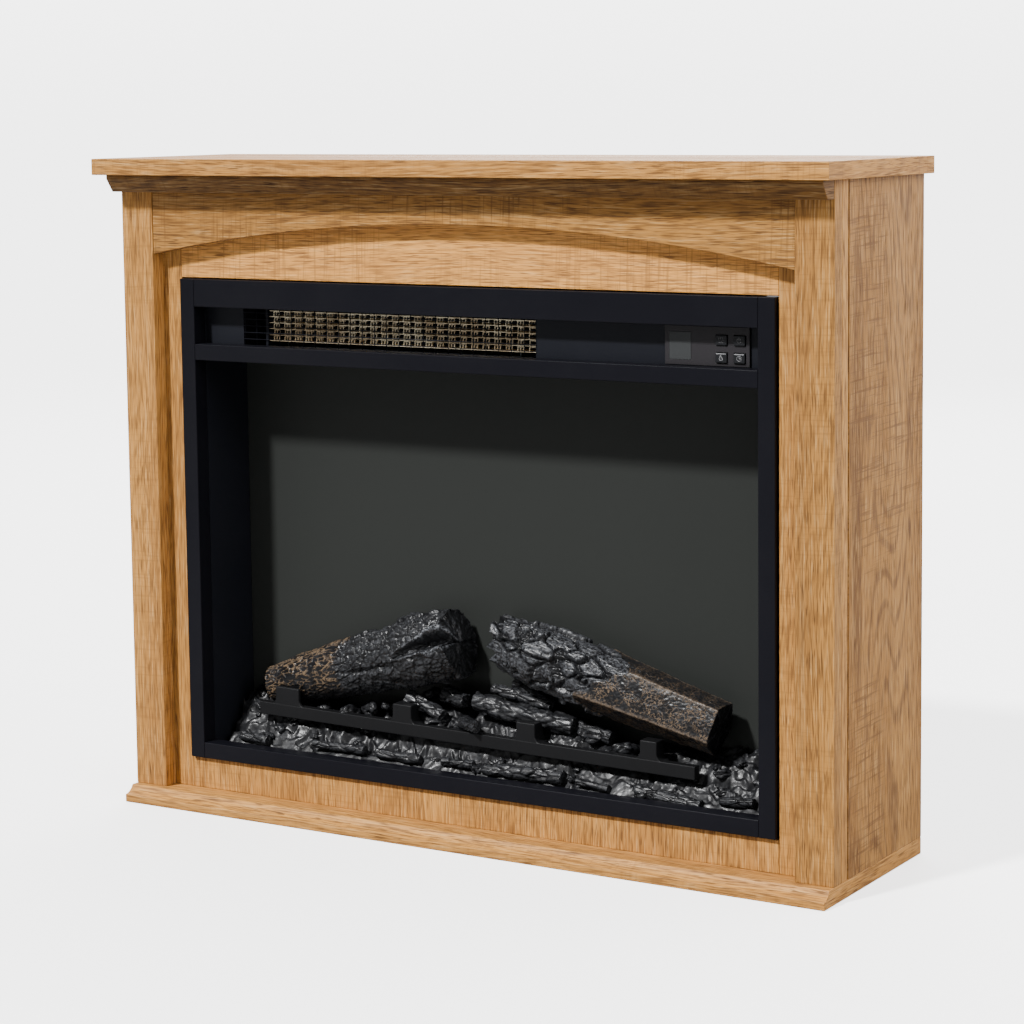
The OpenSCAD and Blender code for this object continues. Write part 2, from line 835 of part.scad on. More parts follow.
module ember_bed() {
    color(RESIN) difference() {
        bed_heap();
        grate_shape(0.4);
        pegs(log_left_pegs, peg_r + 0.1);
        pegs(log_right_pegs, peg_r + 0.1);
        tapered_log([for (end = log_left_ends) [end[0], end[1], end[2], end[3] + 0.5]]);
        tapered_log([for (end = log_right_ends) [end[0], end[1], end[2], end[3] + 0.5]]);
    }
}

mantel_shelf();
crown_moulding();
side_panel_left();
side_panel_right();
stile_left();
stile_right();
arch_rail();
face_strip_left();
face_strip_right();
face_board_top();
face_board_bottom();
base_board();
back_rail_top();
back_rail_bottom();
corner_cleats();
dowels();
cam_locks();
trim_left();
trim_right();
trim_top();
trim_middle();
trim_bottom();
casing_left();
casing_right();
casing_top();
casing_bottom();
rear_cover();
mounting_screws();
cover_screws();
duct_plate();
fascia_plate();
outlet_grille();
heater_element();
heater_brackets();
thermal_cutout();
blower_housing();
blower_wheel();
blower_motor();
blower_bush();
control_panel();
display_window();
button_power();
button_heat();
button_flame();
button_timer();
control_board();
power_board();
flame_screen();
flame_rotor();
rotor_motor();
rotor_bush();
led_strip();
reflector_plate();
ember_bed();
log_left();
log_right();
grate();
cord_inlet();
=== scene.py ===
"""Electric fireplace: the visual model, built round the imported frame.

Laid out as an add-on: property groups hold the sizes and colours, one operator makes each
group of pieces, and a panel in the 3D view's sidebar lists them.
"""

import math
import random

import bmesh
import bpy
from mathutils import Matrix, Vector, noise


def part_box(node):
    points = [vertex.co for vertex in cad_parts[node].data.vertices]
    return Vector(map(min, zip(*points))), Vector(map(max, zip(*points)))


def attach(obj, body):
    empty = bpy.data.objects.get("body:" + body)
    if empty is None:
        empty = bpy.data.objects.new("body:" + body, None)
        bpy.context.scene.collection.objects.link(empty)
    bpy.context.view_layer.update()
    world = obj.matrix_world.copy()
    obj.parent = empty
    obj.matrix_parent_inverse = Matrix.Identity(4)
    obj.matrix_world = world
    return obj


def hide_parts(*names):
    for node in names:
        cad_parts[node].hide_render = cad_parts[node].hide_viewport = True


bl_info = {
    "name": "Electric Fireplace Finish",
    "version": (1, 0, 0),
    "blender": (4, 5, 0),
    "location": "View3D > Sidebar > Fireplace",
    "description": "Finished surfaces and detailed pieces of an electric fireplace",
    "category": "Object",
}

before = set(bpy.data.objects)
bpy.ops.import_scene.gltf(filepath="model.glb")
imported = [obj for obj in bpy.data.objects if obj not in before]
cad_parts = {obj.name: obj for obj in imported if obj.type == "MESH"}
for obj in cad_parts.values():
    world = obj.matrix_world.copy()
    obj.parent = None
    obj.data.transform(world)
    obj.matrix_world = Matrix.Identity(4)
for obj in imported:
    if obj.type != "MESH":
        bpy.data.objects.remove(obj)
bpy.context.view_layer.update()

MM = 0.001
ROOT = "cabinet"
FRONT = Vector((0, -1, 0))
# Vertex marks read by the resin: gold paint, a net of gold lines, and pale ash. On the logs the gold and
# ash marks also hold painted highlights along ridges and lips.
MARKS = ("gold_and_highlight", "net", "ash_and_highlight")


# ---- Settings ----

def colour_setting(name, description, *default):
    return bpy.props.FloatVectorProperty(name=name, description=description, subtype="COLOR",
                                         default=default, min=0, max=1)


def length_setting(name, description, default, least=0):
    return bpy.props.FloatProperty(name=name, description=description, default=default, min=least,
                                   unit="LENGTH")


class OakSettings(bpy.types.PropertyGroup):
    """Colours and edges of the oak laminate."""

    light: colour_setting("Light wood", "Colour between the growth lines", 0.495, 0.234, 0.054)
    middle: colour_setting("Middle wood", "Colour of the broad streaks", 0.350, 0.155, 0.035)
    dark: colour_setting("Dark wood", "Colour of pores, knots and saw marks", 0.066, 0.028, 0.012)
    edge: length_setting("Edge rounding", "Radius along a board's edges", 0.8 * MM)


class MetalSettings(bpy.types.PropertyGroup):
    """Colours and edges of the sheet metal."""

    satin: colour_setting("Satin black", "Powder coat on the trim", 0.0044, 0.0044, 0.0068)
    casing: colour_setting("Casing black", "Paint inside the firebox", 0.0080, 0.0087, 0.0122)
    zinc: colour_setting("Zinc", "Galvanised sheet and plated screws", 0.50, 0.52, 0.54)
    edge: length_setting("Trim edge", "Radius along a trim bar's edges", 0.9 * MM)


class FireSettings(bpy.types.PropertyGroup):
    """Log set and flame screen."""

    resin: colour_setting("Resin", "Glossy black of logs and coals", 0.0042, 0.0042, 0.0049)
    gold: colour_setting("Gold", "Paint brushed over the bark", 0.165, 0.110, 0.063)
    screen: colour_setting("Screen", "Grey-green of the flame screen", 0.0185, 0.0200, 0.0185)
    coal: length_setting("Coal size", "Typical radius of a loose coal", 8 * MM, 2 * MM)
    seed: bpy.props.IntProperty(
        name="Seed", description="Start of the random scatter", default=7)


class StageSettings(bpy.types.PropertyGroup):
    """Camera and floor."""

    lens: bpy.props.FloatProperty(
        name="Lens", description="Focal length of the camera", default=95.84, min=10)
    place: bpy.props.FloatVectorProperty(
        name="Camera place", description="Where the camera stands", subtype="XYZ", unit="LENGTH",
        default=(1.377, -2.194, 0.7031))
    turn: bpy.props.FloatVectorProperty(
        name="Camera turn", description="Pitch, roll and yaw of the camera", subtype="XYZ",
        unit="ROTATION", default=(-0.10955, 0.00965, 0.53766))
    shift: bpy.props.FloatVectorProperty(
        name="Shift", description="Sideways and upward shift of the view", size=2,
        default=(-0.0469, -0.1094))
    floor: colour_setting("Floor", "Colour of the floor", 0.90, 0.90, 0.90)


# ---- Shader helpers ----

def feed(tree, target, values):
    """Fills a node's inputs: a value that is a socket is linked, any other is set."""
    for key, value in values.items():
        if isinstance(value, bpy.types.NodeSocket):
            tree.links.new(value, target.inputs[key])
        else:
            target.inputs[key].default_value = value


def node(tree, kind, values=None, **settings):
    """A shader node of that kind with its inputs filled."""
    made = tree.nodes.new("ShaderNode" + kind)
    for key, value in settings.items():
        setattr(made, key, value)
    feed(tree, made, values or {})
    return made


def calc(tree, operation, first, second=0.0, clamp=False):
    return node(tree, "Math", {0: first, 1: second}, operation=operation, use_clamp=clamp).outputs[0]


def times(tree, first, second):
    return calc(tree, "MULTIPLY", first, second)


def moved(tree, vector, push):
    return node(tree, "VectorMath", {0: vector, 1: push}, operation="ADD").outputs[0]


def stretched(tree, vector, *factors):
    return node(tree, "VectorMath", {0: vector, 1: factors}, operation="MULTIPLY").outputs[0]


def ramp(tree, value, low, high, start=0.0, end=1.0):
    """A smooth step of value from start at low to end at high."""
    return node(tree, "MapRange", {0: value, 1: low, 2: high, 3: start, 4: end},
                interpolation_type="SMOOTHSTEP").outputs[0]


def grey_noise(tree, vector, scale=1.0, detail=2.0, roughness=0.5):
    values = {"Vector": vector, "Scale": scale, "Detail": detail, "Roughness": roughness}
    return node(tree, "TexNoise", values).outputs["Fac"]


def cells(tree, vector, scale, **settings):
    """Distance from the nearest cell's centre, and a random value for each cell."""
    made = node(tree, "TexVoronoi", {"Vector": vector, "Scale": scale}, **settings).outputs
    return made["Distance"], node(tree, "SeparateColor", {0: made["Color"]}).outputs[0]


def tinted(tree, factor, *colours):
    """Two colours mixed by a factor."""
    made = node(tree, "Mix", data_type="RGBA", blend_type="MIX")
    whole = [colour if isinstance(colour, bpy.types.NodeSocket) else (*colour[:3], 1)
             for colour in colours]
    feed(tree, made, {0: factor, 6: whole[0], 7: whole[1]})
    return made.outputs[2]


def new_group(name, inputs, outputs):
    """An empty shader node group with its sockets, its inputs and its output node."""
    tree = bpy.data.node_groups.new(name, "ShaderNodeTree")
    for label, kind, default in inputs:
        socket = tree.interface.new_socket(label, in_out="INPUT", socket_type="NodeSocket" + kind)
        if default is not None:
            socket.default_value = default
    for label, kind in outputs:
        tree.interface.new_socket(label, in_out="OUTPUT", socket_type="NodeSocket" + kind)
    return tree, tree.nodes.new("NodeGroupInput").outputs, tree.nodes.new("NodeGroupOutput")


def placed(tree, inner, values):
    """A group placed in a material with its own values."""
    made = node(tree, "Group", node_tree=inner)
    feed(tree, made, values)
    return made.outputs


def blank_material(name):
    """A node material with only its Principled shader, which is returned with its tree."""
    material = bpy.data.materials.new(name)
    material.use_nodes = True
    tree = material.node_tree
    return material, tree, tree.nodes["Principled BSDF"]


def bump(tree, height, strength, distance):
    values = {"Height": height, "Strength": strength, "Distance": distance}
    return node(tree, "Bump", values).outputs["Normal"]


def object_coords(tree):
    return node(tree, "TexCoord").outputs["Object"]


# ---- Shared effects ----

def oak_figure():
    """Oak laminate in grain coordinates: x runs along the grain and y across it, in metres."""
    tree, given, result = new_group(
        "oak_figure",
        [("Vector", "Vector", None), ("Light", "Color", None), ("Middle", "Color", None),
         ("Dark", "Color", None), ("Saw Marks", "Float", 0.5), ("Figure", "Float", 0.5)],
        [("Color", "Color"), ("Roughness", "Float"), ("Height", "Float")])
    vector = given["Vector"]
    wander = grey_noise(tree, stretched(tree, vector, 1.4, 7.0, 1.0))
    wander = times(tree, calc(tree, "SUBTRACT", wander, 0.5), 0.035)
    bent = moved(tree, vector, node(tree, "CombineXYZ", {1: wander}).outputs[0])

    def along(length, width, detail, roughness=0.5, start=bent):
        """Noise with that many cycles in a metre along the grain and across it."""
        return grey_noise(tree, stretched(tree, start, length, width, 1.0), 1.0, detail, roughness)

    broad = along(1.3, 16.0, 3.0, 0.6)
    contour = ramp(tree, calc(tree, "SINE", times(tree, along(1.5, 11.0, 1.0), 165.0)), 0.25, 1.0)
    streak = along(2.6, 130.0, 3.0, 0.6)
    dashes = along(30.0, 540.0, 2.0, 0.55)
    fibre = along(14.0, 900.0, 2.0, 0.6)
    crowd = ramp(tree, along(3.0, 40.0, 1.0), 0.25, 0.60, 0.35, 1.0)
    pores = times(tree, ramp(tree, along(48.0, 1000.0, 1.0), 0.54, 0.66), crowd)

    slanted = node(tree, "VectorRotate", {"Vector": vector, "Angle": 0.030}).outputs[0]
    cuts = ramp(tree, along(330.0, 13.0, 2.0, 0.6, slanted), 0.50, 0.68)
    patch = ramp(tree, along(4.5, 6.5, 2.0, 0.5, vector), 0.42, 0.54)
    saw = times(tree, times(tree, cuts, patch), given["Saw Marks"])

    distance, chosen = cells(tree, stretched(tree, bent, 3.4, 10.5, 1.0), 1.0)
    chosen = calc(tree, "GREATER_THAN", chosen, 0.86)
    knots = times(tree, ramp(tree, distance, 0.060, 0.02), chosen)
    halo = times(tree, ramp(tree, distance, 0.24, 0.05), chosen)

    light, middle, dark = given["Light"], given["Middle"], given["Dark"]
    brown = tinted(tree, 0.62, middle, dark)
    pale = tinted(tree, 0.30, light, (1.0, 0.78, 0.42))
    lines = times(tree, contour, given["Figure"])
    lines = times(tree, lines, ramp(tree, dashes, 0.35, 0.60, 0.25, 1.0))
    layers = (
        (ramp(tree, broad, 0.34, 0.68, 0.0, 0.85), middle),
        (ramp(tree, streak, 0.48, 0.72, 0.0, 0.24), brown),
        (ramp(tree, streak, 0.47, 0.25, 0.0, 0.25), pale),
        (times(tree, lines, 0.95), brown),
        (ramp(tree, dashes, 0.50, 0.66, 0.0, 0.75), brown),
        (ramp(tree, dashes, 0.46, 0.30, 0.0, 0.40), pale),
        (ramp(tree, fibre, 0.46, 0.75, 0.0, 0.35), dark),
        (times(tree, pores, 0.75), dark),
        (times(tree, saw, 0.80), brown),
        (times(tree, halo, 0.28), dark),
        (times(tree, knots, 0.85), dark),
    )
    colour = light
    for share, tone in layers:
        colour = tinted(tree, share, colour, tone)

    rough = calc(tree, "ADD", ramp(tree, broad, 0.3, 0.7, 0.44, 0.54), times(tree, pores, 0.2))
    height = times(tree, dashes, -0.5)
    for groove, depth in ((pores, 0.9), (saw, 0.8), (knots, 0.5)):
        height = calc(tree, "SUBTRACT", height, times(tree, groove, depth))
    feed(tree, result, {"Color": colour, "Roughness": rough, "Height": height})
    return tree


def powder_texture():
    """The fine orange-peel of a baked or moulded surface, and faint dust that gathers in patches."""
    tree, given, result = new_group(
        "powder_texture",
        [("Vector", "Vector", None), ("Grain", "Float", 900.0), ("Dust", "Float", 0.1)],
        [("Dust", "Float"), ("Roughness", "Float"), ("Height", "Float")])
    vector = given["Vector"]
    cloud = grey_noise(tree, vector, 7.0, 4.0, 0.6)
    speck = ramp(tree, grey_noise(tree, vector, 650.0, 1.0), 0.62, 0.80)
    dust = times(tree, speck, ramp(tree, cloud, 0.40, 0.70))
    dust = calc(tree, "ADD", dust, ramp(tree, cloud, 0.35, 0.75, 0.0, 0.35))
    feed(tree, result, {"Dust": times(tree, dust, given["Dust"]),
                        "Roughness": ramp(tree, cloud, 0.3, 0.7, -0.04, 0.06),
                        "Height": grey_noise(tree, vector, given["Grain"])})
    return tree


def spangle():
    """Zinc crystals: pale and dark flakes with a little tarnish."""
    tree, given, result = new_group(
        "spangle", [("Vector", "Vector", None), ("Flake", "Float", 110.0)],
        [("Shade", "Float"), ("Roughness", "Float")])
    vector = given["Vector"]
    warp = node(tree, "TexNoise", {"Vector": vector, "Scale": 60.0, "Detail": 2.0}).outputs["Color"]
    warped = moved(tree, vector, stretched(tree, warp, 0.012, 0.012, 0.012))
    _, flake = cells(tree, warped, given["Flake"])
    stain = ramp(tree, grey_noise(tree, vector, 9.0, 4.0, 0.6), 0.3, 0.7, 0.74, 0.86)
    feed(tree, result, {"Shade": calc(tree, "ADD", times(tree, flake, 0.22), stain),
                        "Roughness": ramp(tree, flake, 0.0, 1.0, 0.30, 0.46)})
    return tree


# ---- Materials ----

made_groups = {}
made_materials = {}


def group(maker):
    """The node group of that maker, made the first time it is asked for."""
    if maker not in made_groups:
        made_groups[maker] = maker()
    return made_groups[maker]


def scaled(colour, factor):
    return tuple(min(channel * factor, 1.0) for channel in colour[:3])


# Each maker below adds its nodes to a material's tree and returns the shader's inputs.

def oak_material(tree, tone, saw, figure):
    """Oak laminate. Tone lightens or darkens it, saw and figure set how strongly those marks show."""
    oak = bpy.context.scene.oak
    grain = node(tree, "UVMap", uv_map="grain").outputs[0]
    colours = {label: (*scaled(colour, tone), 1) for label, colour in
               (("Light", oak.light), ("Middle", oak.middle), ("Dark", oak.dark))}
    look = placed(tree, group(oak_figure),
                  {"Vector": grain, "Saw Marks": saw, "Figure": figure, **colours})
    return {"Base Color": look["Color"], "Roughness": look["Roughness"],
            "Normal": bump(tree, look["Height"], 0.35, 0.35 * MM),
            "Specular IOR Level": 0.18}


def coated_material(tree, colour, roughness, dust, gloss=0.35, grain=900.0, relief=0.12):
    """Painted or moulded surface with a fine peel and a little dust; gloss is its specular level."""
    look = placed(tree, group(powder_texture),
                  {"Vector": object_coords(tree), "Grain": grain, "Dust": dust})
    return {"Base Color": tinted(tree, look["Dust"], colour, (0.33, 0.33, 0.34)),
            "Roughness": calc(tree, "ADD", look["Roughness"], roughness, True),
            "Normal": bump(tree, look["Height"], relief, 0.2 * MM),
            "Specular IOR Level": gloss}


def zinc_material(tree, colour, flake):
    """Plated or bare metal of that colour; flake is the number of crystals in a metre."""
    look = placed(tree, group(spangle), {"Vector": object_coords(tree), "Flake": flake})
    return {"Base Color": tinted(tree, look["Shade"], scaled(colour, 0.3), colour),
            "Roughness": look["Roughness"], "Metallic": 0.85}


def chipboard_material(tree):
    """Raw particle board: pressed chips of several tans."""
    vector = object_coords(tree)
    distance, chip = cells(tree, vector, 420.0)
    cloud = ramp(tree, grey_noise(tree, vector, 60.0, 3.0), 0.55, 0.75, 0.0, 0.5)
    tint = tinted(tree, chip, (0.42, 0.27, 0.14), (0.62, 0.45, 0.27))
    return {"Base Color": tinted(tree, cloud, tint, (0.24, 0.14, 0.07)),
            "Roughness": 0.8, "Normal": bump(tree, distance, 0.4, 0.3 * MM)}


def resin_material(tree, rough_low, rough_high, gloss):
    """Black casting. The piece's attributes say where gold is brushed on, where it lies in a net of fine
    lines, and where ash makes it pale, with painted highlights in the gold and pale marks along the
    logs' ridges and split lips; its roughness runs between the two values."""
    fire = bpy.context.scene.fire
    vector = object_coords(tree)
    gold_and_highlight, net, ash_and_highlight = [node(tree, "Attribute", attribute_name=mark).outputs["Fac"] for mark in MARKS]
    grit = grey_noise(tree, vector, 420.0, 3.0, 0.6)
    blotch = grey_noise(tree, vector, 70.0, 3.0, 0.6)
    swirl = grey_noise(tree, vector, 290.0, 2.0, 0.55)
    worms = ramp(tree, calc(tree, "ABSOLUTE", calc(tree, "SUBTRACT", swirl, 0.5)), 0.042, 0.010)
    worms = times(tree, worms, ramp(tree, blotch, 0.36, 0.56, 0.25, 1.0))
    worms = times(tree, worms, net)
    gold_and_highlight = calc(tree, "MAXIMUM", times(tree, gold_and_highlight, ramp(tree, grit, 0.34, 0.52)), worms)
    gold = tinted(tree, blotch, fire.gold, scaled(fire.gold, 0.55))
    tint = tinted(tree, ramp(tree, blotch, 0.4, 0.7, 0.0, 0.5), fire.resin, scaled(fire.resin, 2.4))
    pale_share = times(tree, ash_and_highlight, ramp(tree, grit, 0.40, 0.60, 0.0, 0.45))
    tint = tinted(tree, pale_share, tint, (0.20, 0.21, 0.23))
    rough = calc(tree, "ADD", ramp(tree, blotch, 0.3, 0.7, rough_low, rough_high),
                 times(tree, gold_and_highlight, 0.15))
    return {"Base Color": tinted(tree, gold_and_highlight, tint, gold), "Roughness": rough,
            "Specular IOR Level": gloss, "Coat Weight": 0.05, "Coat Roughness": 0.18,
            "Normal": bump(tree, calc(tree, "ADD", grit, worms), 0.22, 0.5 * MM)}


def screen_material(tree):
    """Smooth diffusing screen with a faint mottle from its moulding."""
    fire = bpy.context.scene.fire
    vector = object_coords(tree)
    cloud = grey_noise(tree, vector, 2.5)
    fine = grey_noise(tree, vector, 1500.0, 1.0)
    return {"Base Color": tinted(tree, cloud, fire.screen, scaled(fire.screen, 1.15)),
            "Roughness": ramp(tree, fine, 0.3, 0.7, 0.44, 0.52),
            "Normal": bump(tree, fine, 0.05, 0.05 * MM), "Specular IOR Level": 0.12}


def fin_material(tree):
    """Heat-tinted aluminium fins."""
    heat = grey_noise(tree, object_coords(tree), 45.0, 3.0)
    tint = tinted(tree, ramp(tree, heat, 0.35, 0.65), (0.86, 0.76, 0.54), (0.62, 0.48, 0.30))
    return {"Base Color": tint, "Metallic": 0.6,
            "Roughness": ramp(tree, heat, 0.3, 0.7, 0.32, 0.50)}


def board_green_material(tree):
    """Circuit board: green mask with a faint grid of tracks."""
    distance, _ = cells(tree, object_coords(tree), 260.0, distance="MANHATTAN")
    track = ramp(tree, distance, 0.55, 0.60)
    tint = tinted(tree, track, (0.012, 0.070, 0.030), (0.030, 0.140, 0.060))
    return {"Base Color": tint, "Roughness": 0.4}


def sign_material(tree, shade):
    """Printed signs, slightly worn."""
    wear = ramp(tree, grey_noise(tree, object_coords(tree), 1800.0), 0.45, 0.75)
    tint = tinted(tree, wear, (shade, shade, shade * 1.04), (shade / 2, shade / 2, shade / 2))
    return {"Base Color": tint, "Roughness": 0.5}


def finish(name):
    """The material of a named finish, made the first time it is asked for."""
    metal = bpy.context.scene.metal
    makers = {
        "oak_front": (oak_material, 1.10, 0.35, 0.45),
        "oak_brown": (oak_material, 0.87, 0.35, 0.50),
        "oak_pale": (oak_material, 1.64, 0.7, 0.22),
        "oak_sawn": (oak_material, 0.80, 0.75, 0.45),
        "oak_side": (oak_material, 0.84, 1.0, 0.95),
        # Dark oak of the crown and back rails. On the crown its low tone is partly the wood's own colour
        # and partly painted shade from the shelf above.
        "oak_dark_and_painted_shade": (oak_material, 0.46, 0.30, 0.60),
        "satin_black": (coated_material, metal.satin, 0.34, 0.01, 0.10),
        "casing_black": (coated_material, metal.casing, 0.40, 0.01, 0.12),
        "panel_black": (coated_material, (0.0230, 0.0212, 0.0235), 0.30, 0.01, 0.14, 1400.0, 0.03),
        "button_black": (coated_material, (0.010, 0.0105, 0.012), 0.36, 0.01, 0.18, 1400.0, 0.08),
        "smoke": (coated_material, (0.034, 0.036, 0.037), 0.20, 0.01, 0.14, 1400.0, 0.01),
        # Black of the grate casting. It is also used on the corner cleats as painted shade.
        "grate_black_and_gap_shade": (coated_material, (0.0068, 0.0068, 0.0074), 0.40, 0.01, 0.12, 700.0, 0.15),
        "motor_grey": (coated_material, (0.10, 0.105, 0.11), 0.45, 0.10),
        "wheel_black": (coated_material, (0.02, 0.02, 0.022), 0.45, 0.20),
        "bush_black": (coated_material, (0.012, 0.012, 0.013), 0.45, 0.05, 0.4, 700.0, 0.2),
        "zinc_sheet": (zinc_material, metal.zinc, 110.0),
        "zinc_plate": (zinc_material, scaled(metal.zinc, 1.15), 400.0),
        "brass": (zinc_material, (0.60, 0.42, 0.16), 500.0),
        "foil": (zinc_material, (0.80, 0.80, 0.78), 60.0),
        "chipboard": (chipboard_material,),
        "resin": (resin_material, 0.33, 0.52, 0.24),
        "char": (resin_material, 0.34, 0.56, 0.26),
        "screen": (screen_material,),
        "fins": (fin_material,),
        "board_green": (board_green_material,),
        "sign_print": (sign_material, 0.30),
        "sign_faint": (sign_material, 0.14),
    }
    if name not in made_materials:
        maker, *values = makers[name]
        made_materials[name], tree, shader = blank_material(name)
        feed(tree, shader, maker(tree, *values))
    return made_materials[name]


# ---- Mesh helpers ----

def baked(name, bm, *materials):
    """The mesh that a bmesh held."""
    mesh = bpy.data.meshes.new(name)
    bm.to_mesh(mesh)
    bm.free()
    for material in materials:
        mesh.materials.append(material)
    return mesh


def placed_object(name, data):
    made = bpy.data.objects.new(name, data)
    bpy.context.scene.collection.objects.link(made)
    return made


def merge(bm, part):
    """Moves a part's geometry into a bmesh."""
    mesh = baked("part", part)
    bm.from_mesh(mesh)
    bpy.data.meshes.remove(mesh)


def mark_layers(bm):
    return [bm.verts.layers.float.new(mark) for mark in MARKS]


def vertices_of(grown):
    """The vertices in an extrusion's result."""
    return [item for item in grown["geom"] if isinstance(item, bmesh.types.BMVert)]


def add_piece(name, bm, material, replaces=(), body=ROOT):
    """Turns a bmesh into a piece that rides on a body."""
    piece = placed_object(name, baked(name, bm, finish(material)))
    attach(piece, body)
    if replaces:
        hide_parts(*replaces)
    return piece


def smooth_piece(piece):
    for face in piece.data.polygons:
        face.use_smooth = True


def soften(piece):
    """Smooth shading in which the large faces keep their own direction."""
    smooth_piece(piece)
    piece.modifiers.new("face_normals", "WEIGHTED_NORMAL").keep_sharp = True


def round_edges(bm, edges, radius, segments=3):
    bmesh.ops.bevel(bm, geom=list(edges), offset=radius, offset_type="OFFSET", affect="EDGES",
                    segments=segments, profile=0.5, material=-1, clamp_overlap=True)


def block(bm, low, high):
    """A box between two corners, added to a bmesh. Its new vertices are returned."""
    low, high = Vector(low), Vector(high)
    size = high - low
    matrix = Matrix.Translation((low + high) / 2) @ Matrix.Diagonal((*size, 1))
    return bmesh.ops.create_cube(bm, size=1.0, matrix=matrix)["verts"]


def rod(bm, matrix, radius, length, segments):
    """A round bar along the matrix's own z, centred on it."""
    bmesh.ops.create_cone(bm, cap_ends=True, segments=segments, radius1=radius, radius2=radius,
                          depth=length, matrix=matrix)


def outline_prism(bm, points, push):
    """A closed outline of points, filled and extruded by a push vector."""
    face = bm.faces.new([bm.verts.new(point) for point in points])
    grown = bmesh.ops.extrude_face_region(bm, geom=[face])
    bmesh.ops.translate(bm, vec=push, verts=vertices_of(grown))
    bmesh.ops.recalc_face_normals(bm, faces=bm.faces[:])


def sharp_edges(bm, least=0.5):
    """The edges where two faces meet at more than this angle."""
    return [edge for edge in bm.edges if len(edge.link_faces) == 2 and edge.calc_face_angle() > least]


def lay_grain(bm, grain, seed):
    """Writes each face's grain coordinates, in metres, to the UV map named grain.

    The grain runs along one axis on every face, or along the face's longer side on the board's ends.
    """
    layer = bm.loops.layers.uv.new("grain")
    places = [[vert.co[axis] for vert in bm.verts] for axis in range(3)]
    spans = [max(line) - min(line) for line in places]
    draw = random.Random(seed)
    offset = Vector((draw.uniform(0, 9), draw.uniform(0, 9)))
    bm.normal_update()
    for face in bm.faces:
        facing = max(range(3), key=lambda axis: abs(face.normal[axis]))
        along = "XYZ".index(grain)
        if facing == along:
            along = max((axis for axis in range(3) if axis != facing), key=lambda axis: spans[axis])
        across = 3 - facing - along
        for loop in face.loops:
            place = loop.vert.co
            loop[layer].uv = (place[along] + offset.x, place[across] + offset.y + facing * 0.7)


def eased_block(name, radius, segments=3):
    """A bmesh of a block with rounded edges where the CAD node lies."""
    bm = bmesh.new()
    block(bm, *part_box(name))
    round_edges(bm, bm.edges, radius, segments)
    return bm


# ---- Mantel ----

class Step:
    """What the operators share: each one's build makes its pieces."""

    def execute(self, context):
        self.build(context)
        return {"FINISHED"}


class MantelBoards(Step, bpy.types.Operator):
    """The flat boards of the mantel, with eased edges"""

    bl_idname = "fireplace.mantel_boards"
    bl_label = "Mantel boards"

    def build(self, context):
        boards = (
            ("mantel_shelf", "X", "oak_front"), ("side_panel_left", "Z", "oak_side"),
            ("side_panel_right", "Z", "oak_side"), ("stile_left", "Z", "oak_front"),
            ("stile_right", "Z", "oak_brown"), ("face_strip_left", "Z", "oak_front"),
            ("face_strip_right", "Z", "oak_front"), ("face_board_top", "X", "oak_pale"),
            ("face_board_bottom", "Z", "oak_front"), ("back_rail_top", "X", "oak_dark_and_painted_shade"),
            ("back_rail_bottom", "X", "oak_dark_and_painted_shade"),
        )
        for seed, (name, grain, look) in enumerate(boards, 1):
            bm = eased_block(name, context.scene.oak.edge)
            lay_grain(bm, grain, seed)
            soften(add_piece(name + "_board", bm, look, [name]))


class ArchRail(Step, bpy.types.Operator):
    """The rail between the stiles, with its arched lower edge"""

    bl_idname = "fireplace.arch_rail"
    bl_label = "Arch rail"

    def build(self, context):
        low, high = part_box("arch_rail")
        solid = 44.5 * MM
        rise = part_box("stile_left")[1].z - low.z - solid
        half = high.x
        radius = (half * half + rise * rise) / (2 * rise)
        centre_z = low.z + rise - radius
        steps = 64
        points = [(half, low.y, high.z), (-half, low.y, high.z)]
        for step in range(steps + 1):
            x = -half + 2 * half * step / steps
            points.append((x, low.y, centre_z + math.sqrt(radius * radius - x * x)))
        bm = bmesh.new()
        outline_prism(bm, points, (0, high.y - low.y, 0))
        round_edges(bm, sharp_edges(bm), context.scene.oak.edge)
        lay_grain(bm, "X", 31)
        soften(add_piece("arch_rail_board", bm, "oak_sawn", ["arch_rail"]))


class Mouldings(Step, bpy.types.Operator):
    """Crown moulding and base board, run along the mantel from their profiles"""

    bl_idname = "fireplace.mouldings"
    bl_label = "Mouldings"

    def build(self, context):
        low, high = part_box("crown_moulding")
        nose, splay = 4 * MM, 9 * MM
        crown = [(high.y, low.z), (high.y, high.z), (low.y, high.z), (low.y, high.z - nose),
                 (low.y + splay, low.z)]
        # The crown's dark tone is partly painted shade, the shade the shelf casts on it.
        self.run_profile("crown_moulding", crown, "oak_dark_and_painted_shade", 41, context.scene.oak.edge)
        low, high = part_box("base_board")
        lip, radius, ahead = 8 * MM, 13 * MM, 1 * MM
        centre = Vector((low.y - ahead, lip + math.sqrt(radius ** 2 - ahead ** 2)))
        start = math.asin((centre.y - high.z) / radius)
        end = math.acos(ahead / radius)
        cove = []
        for step in range(9):
            angle = start + (end - start) * step / 8
            cove.append((centre.x + radius * math.cos(angle), centre.y - radius * math.sin(angle)))
        base = [(high.y, 0), (high.y, high.z), *cove, (low.y, 0)]
        self.run_profile("base_board", base, "oak_front", 42, context.scene.oak.edge)

    def run_profile(self, name, profile, look, seed, edge):
        """A profile of (y, z) points run along the CAD node's length."""
        low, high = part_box(name)
        bm = bmesh.new()
        outline_prism(bm, [(low.x, y, z) for y, z in profile], (high.x - low.x, 0, 0))
        round_edges(bm, sharp_edges(bm), edge, 2)
        lay_grain(bm, "X", seed)
        soften(add_piece(name + "_profile", bm, look, [name]))


# ---- Insert ----

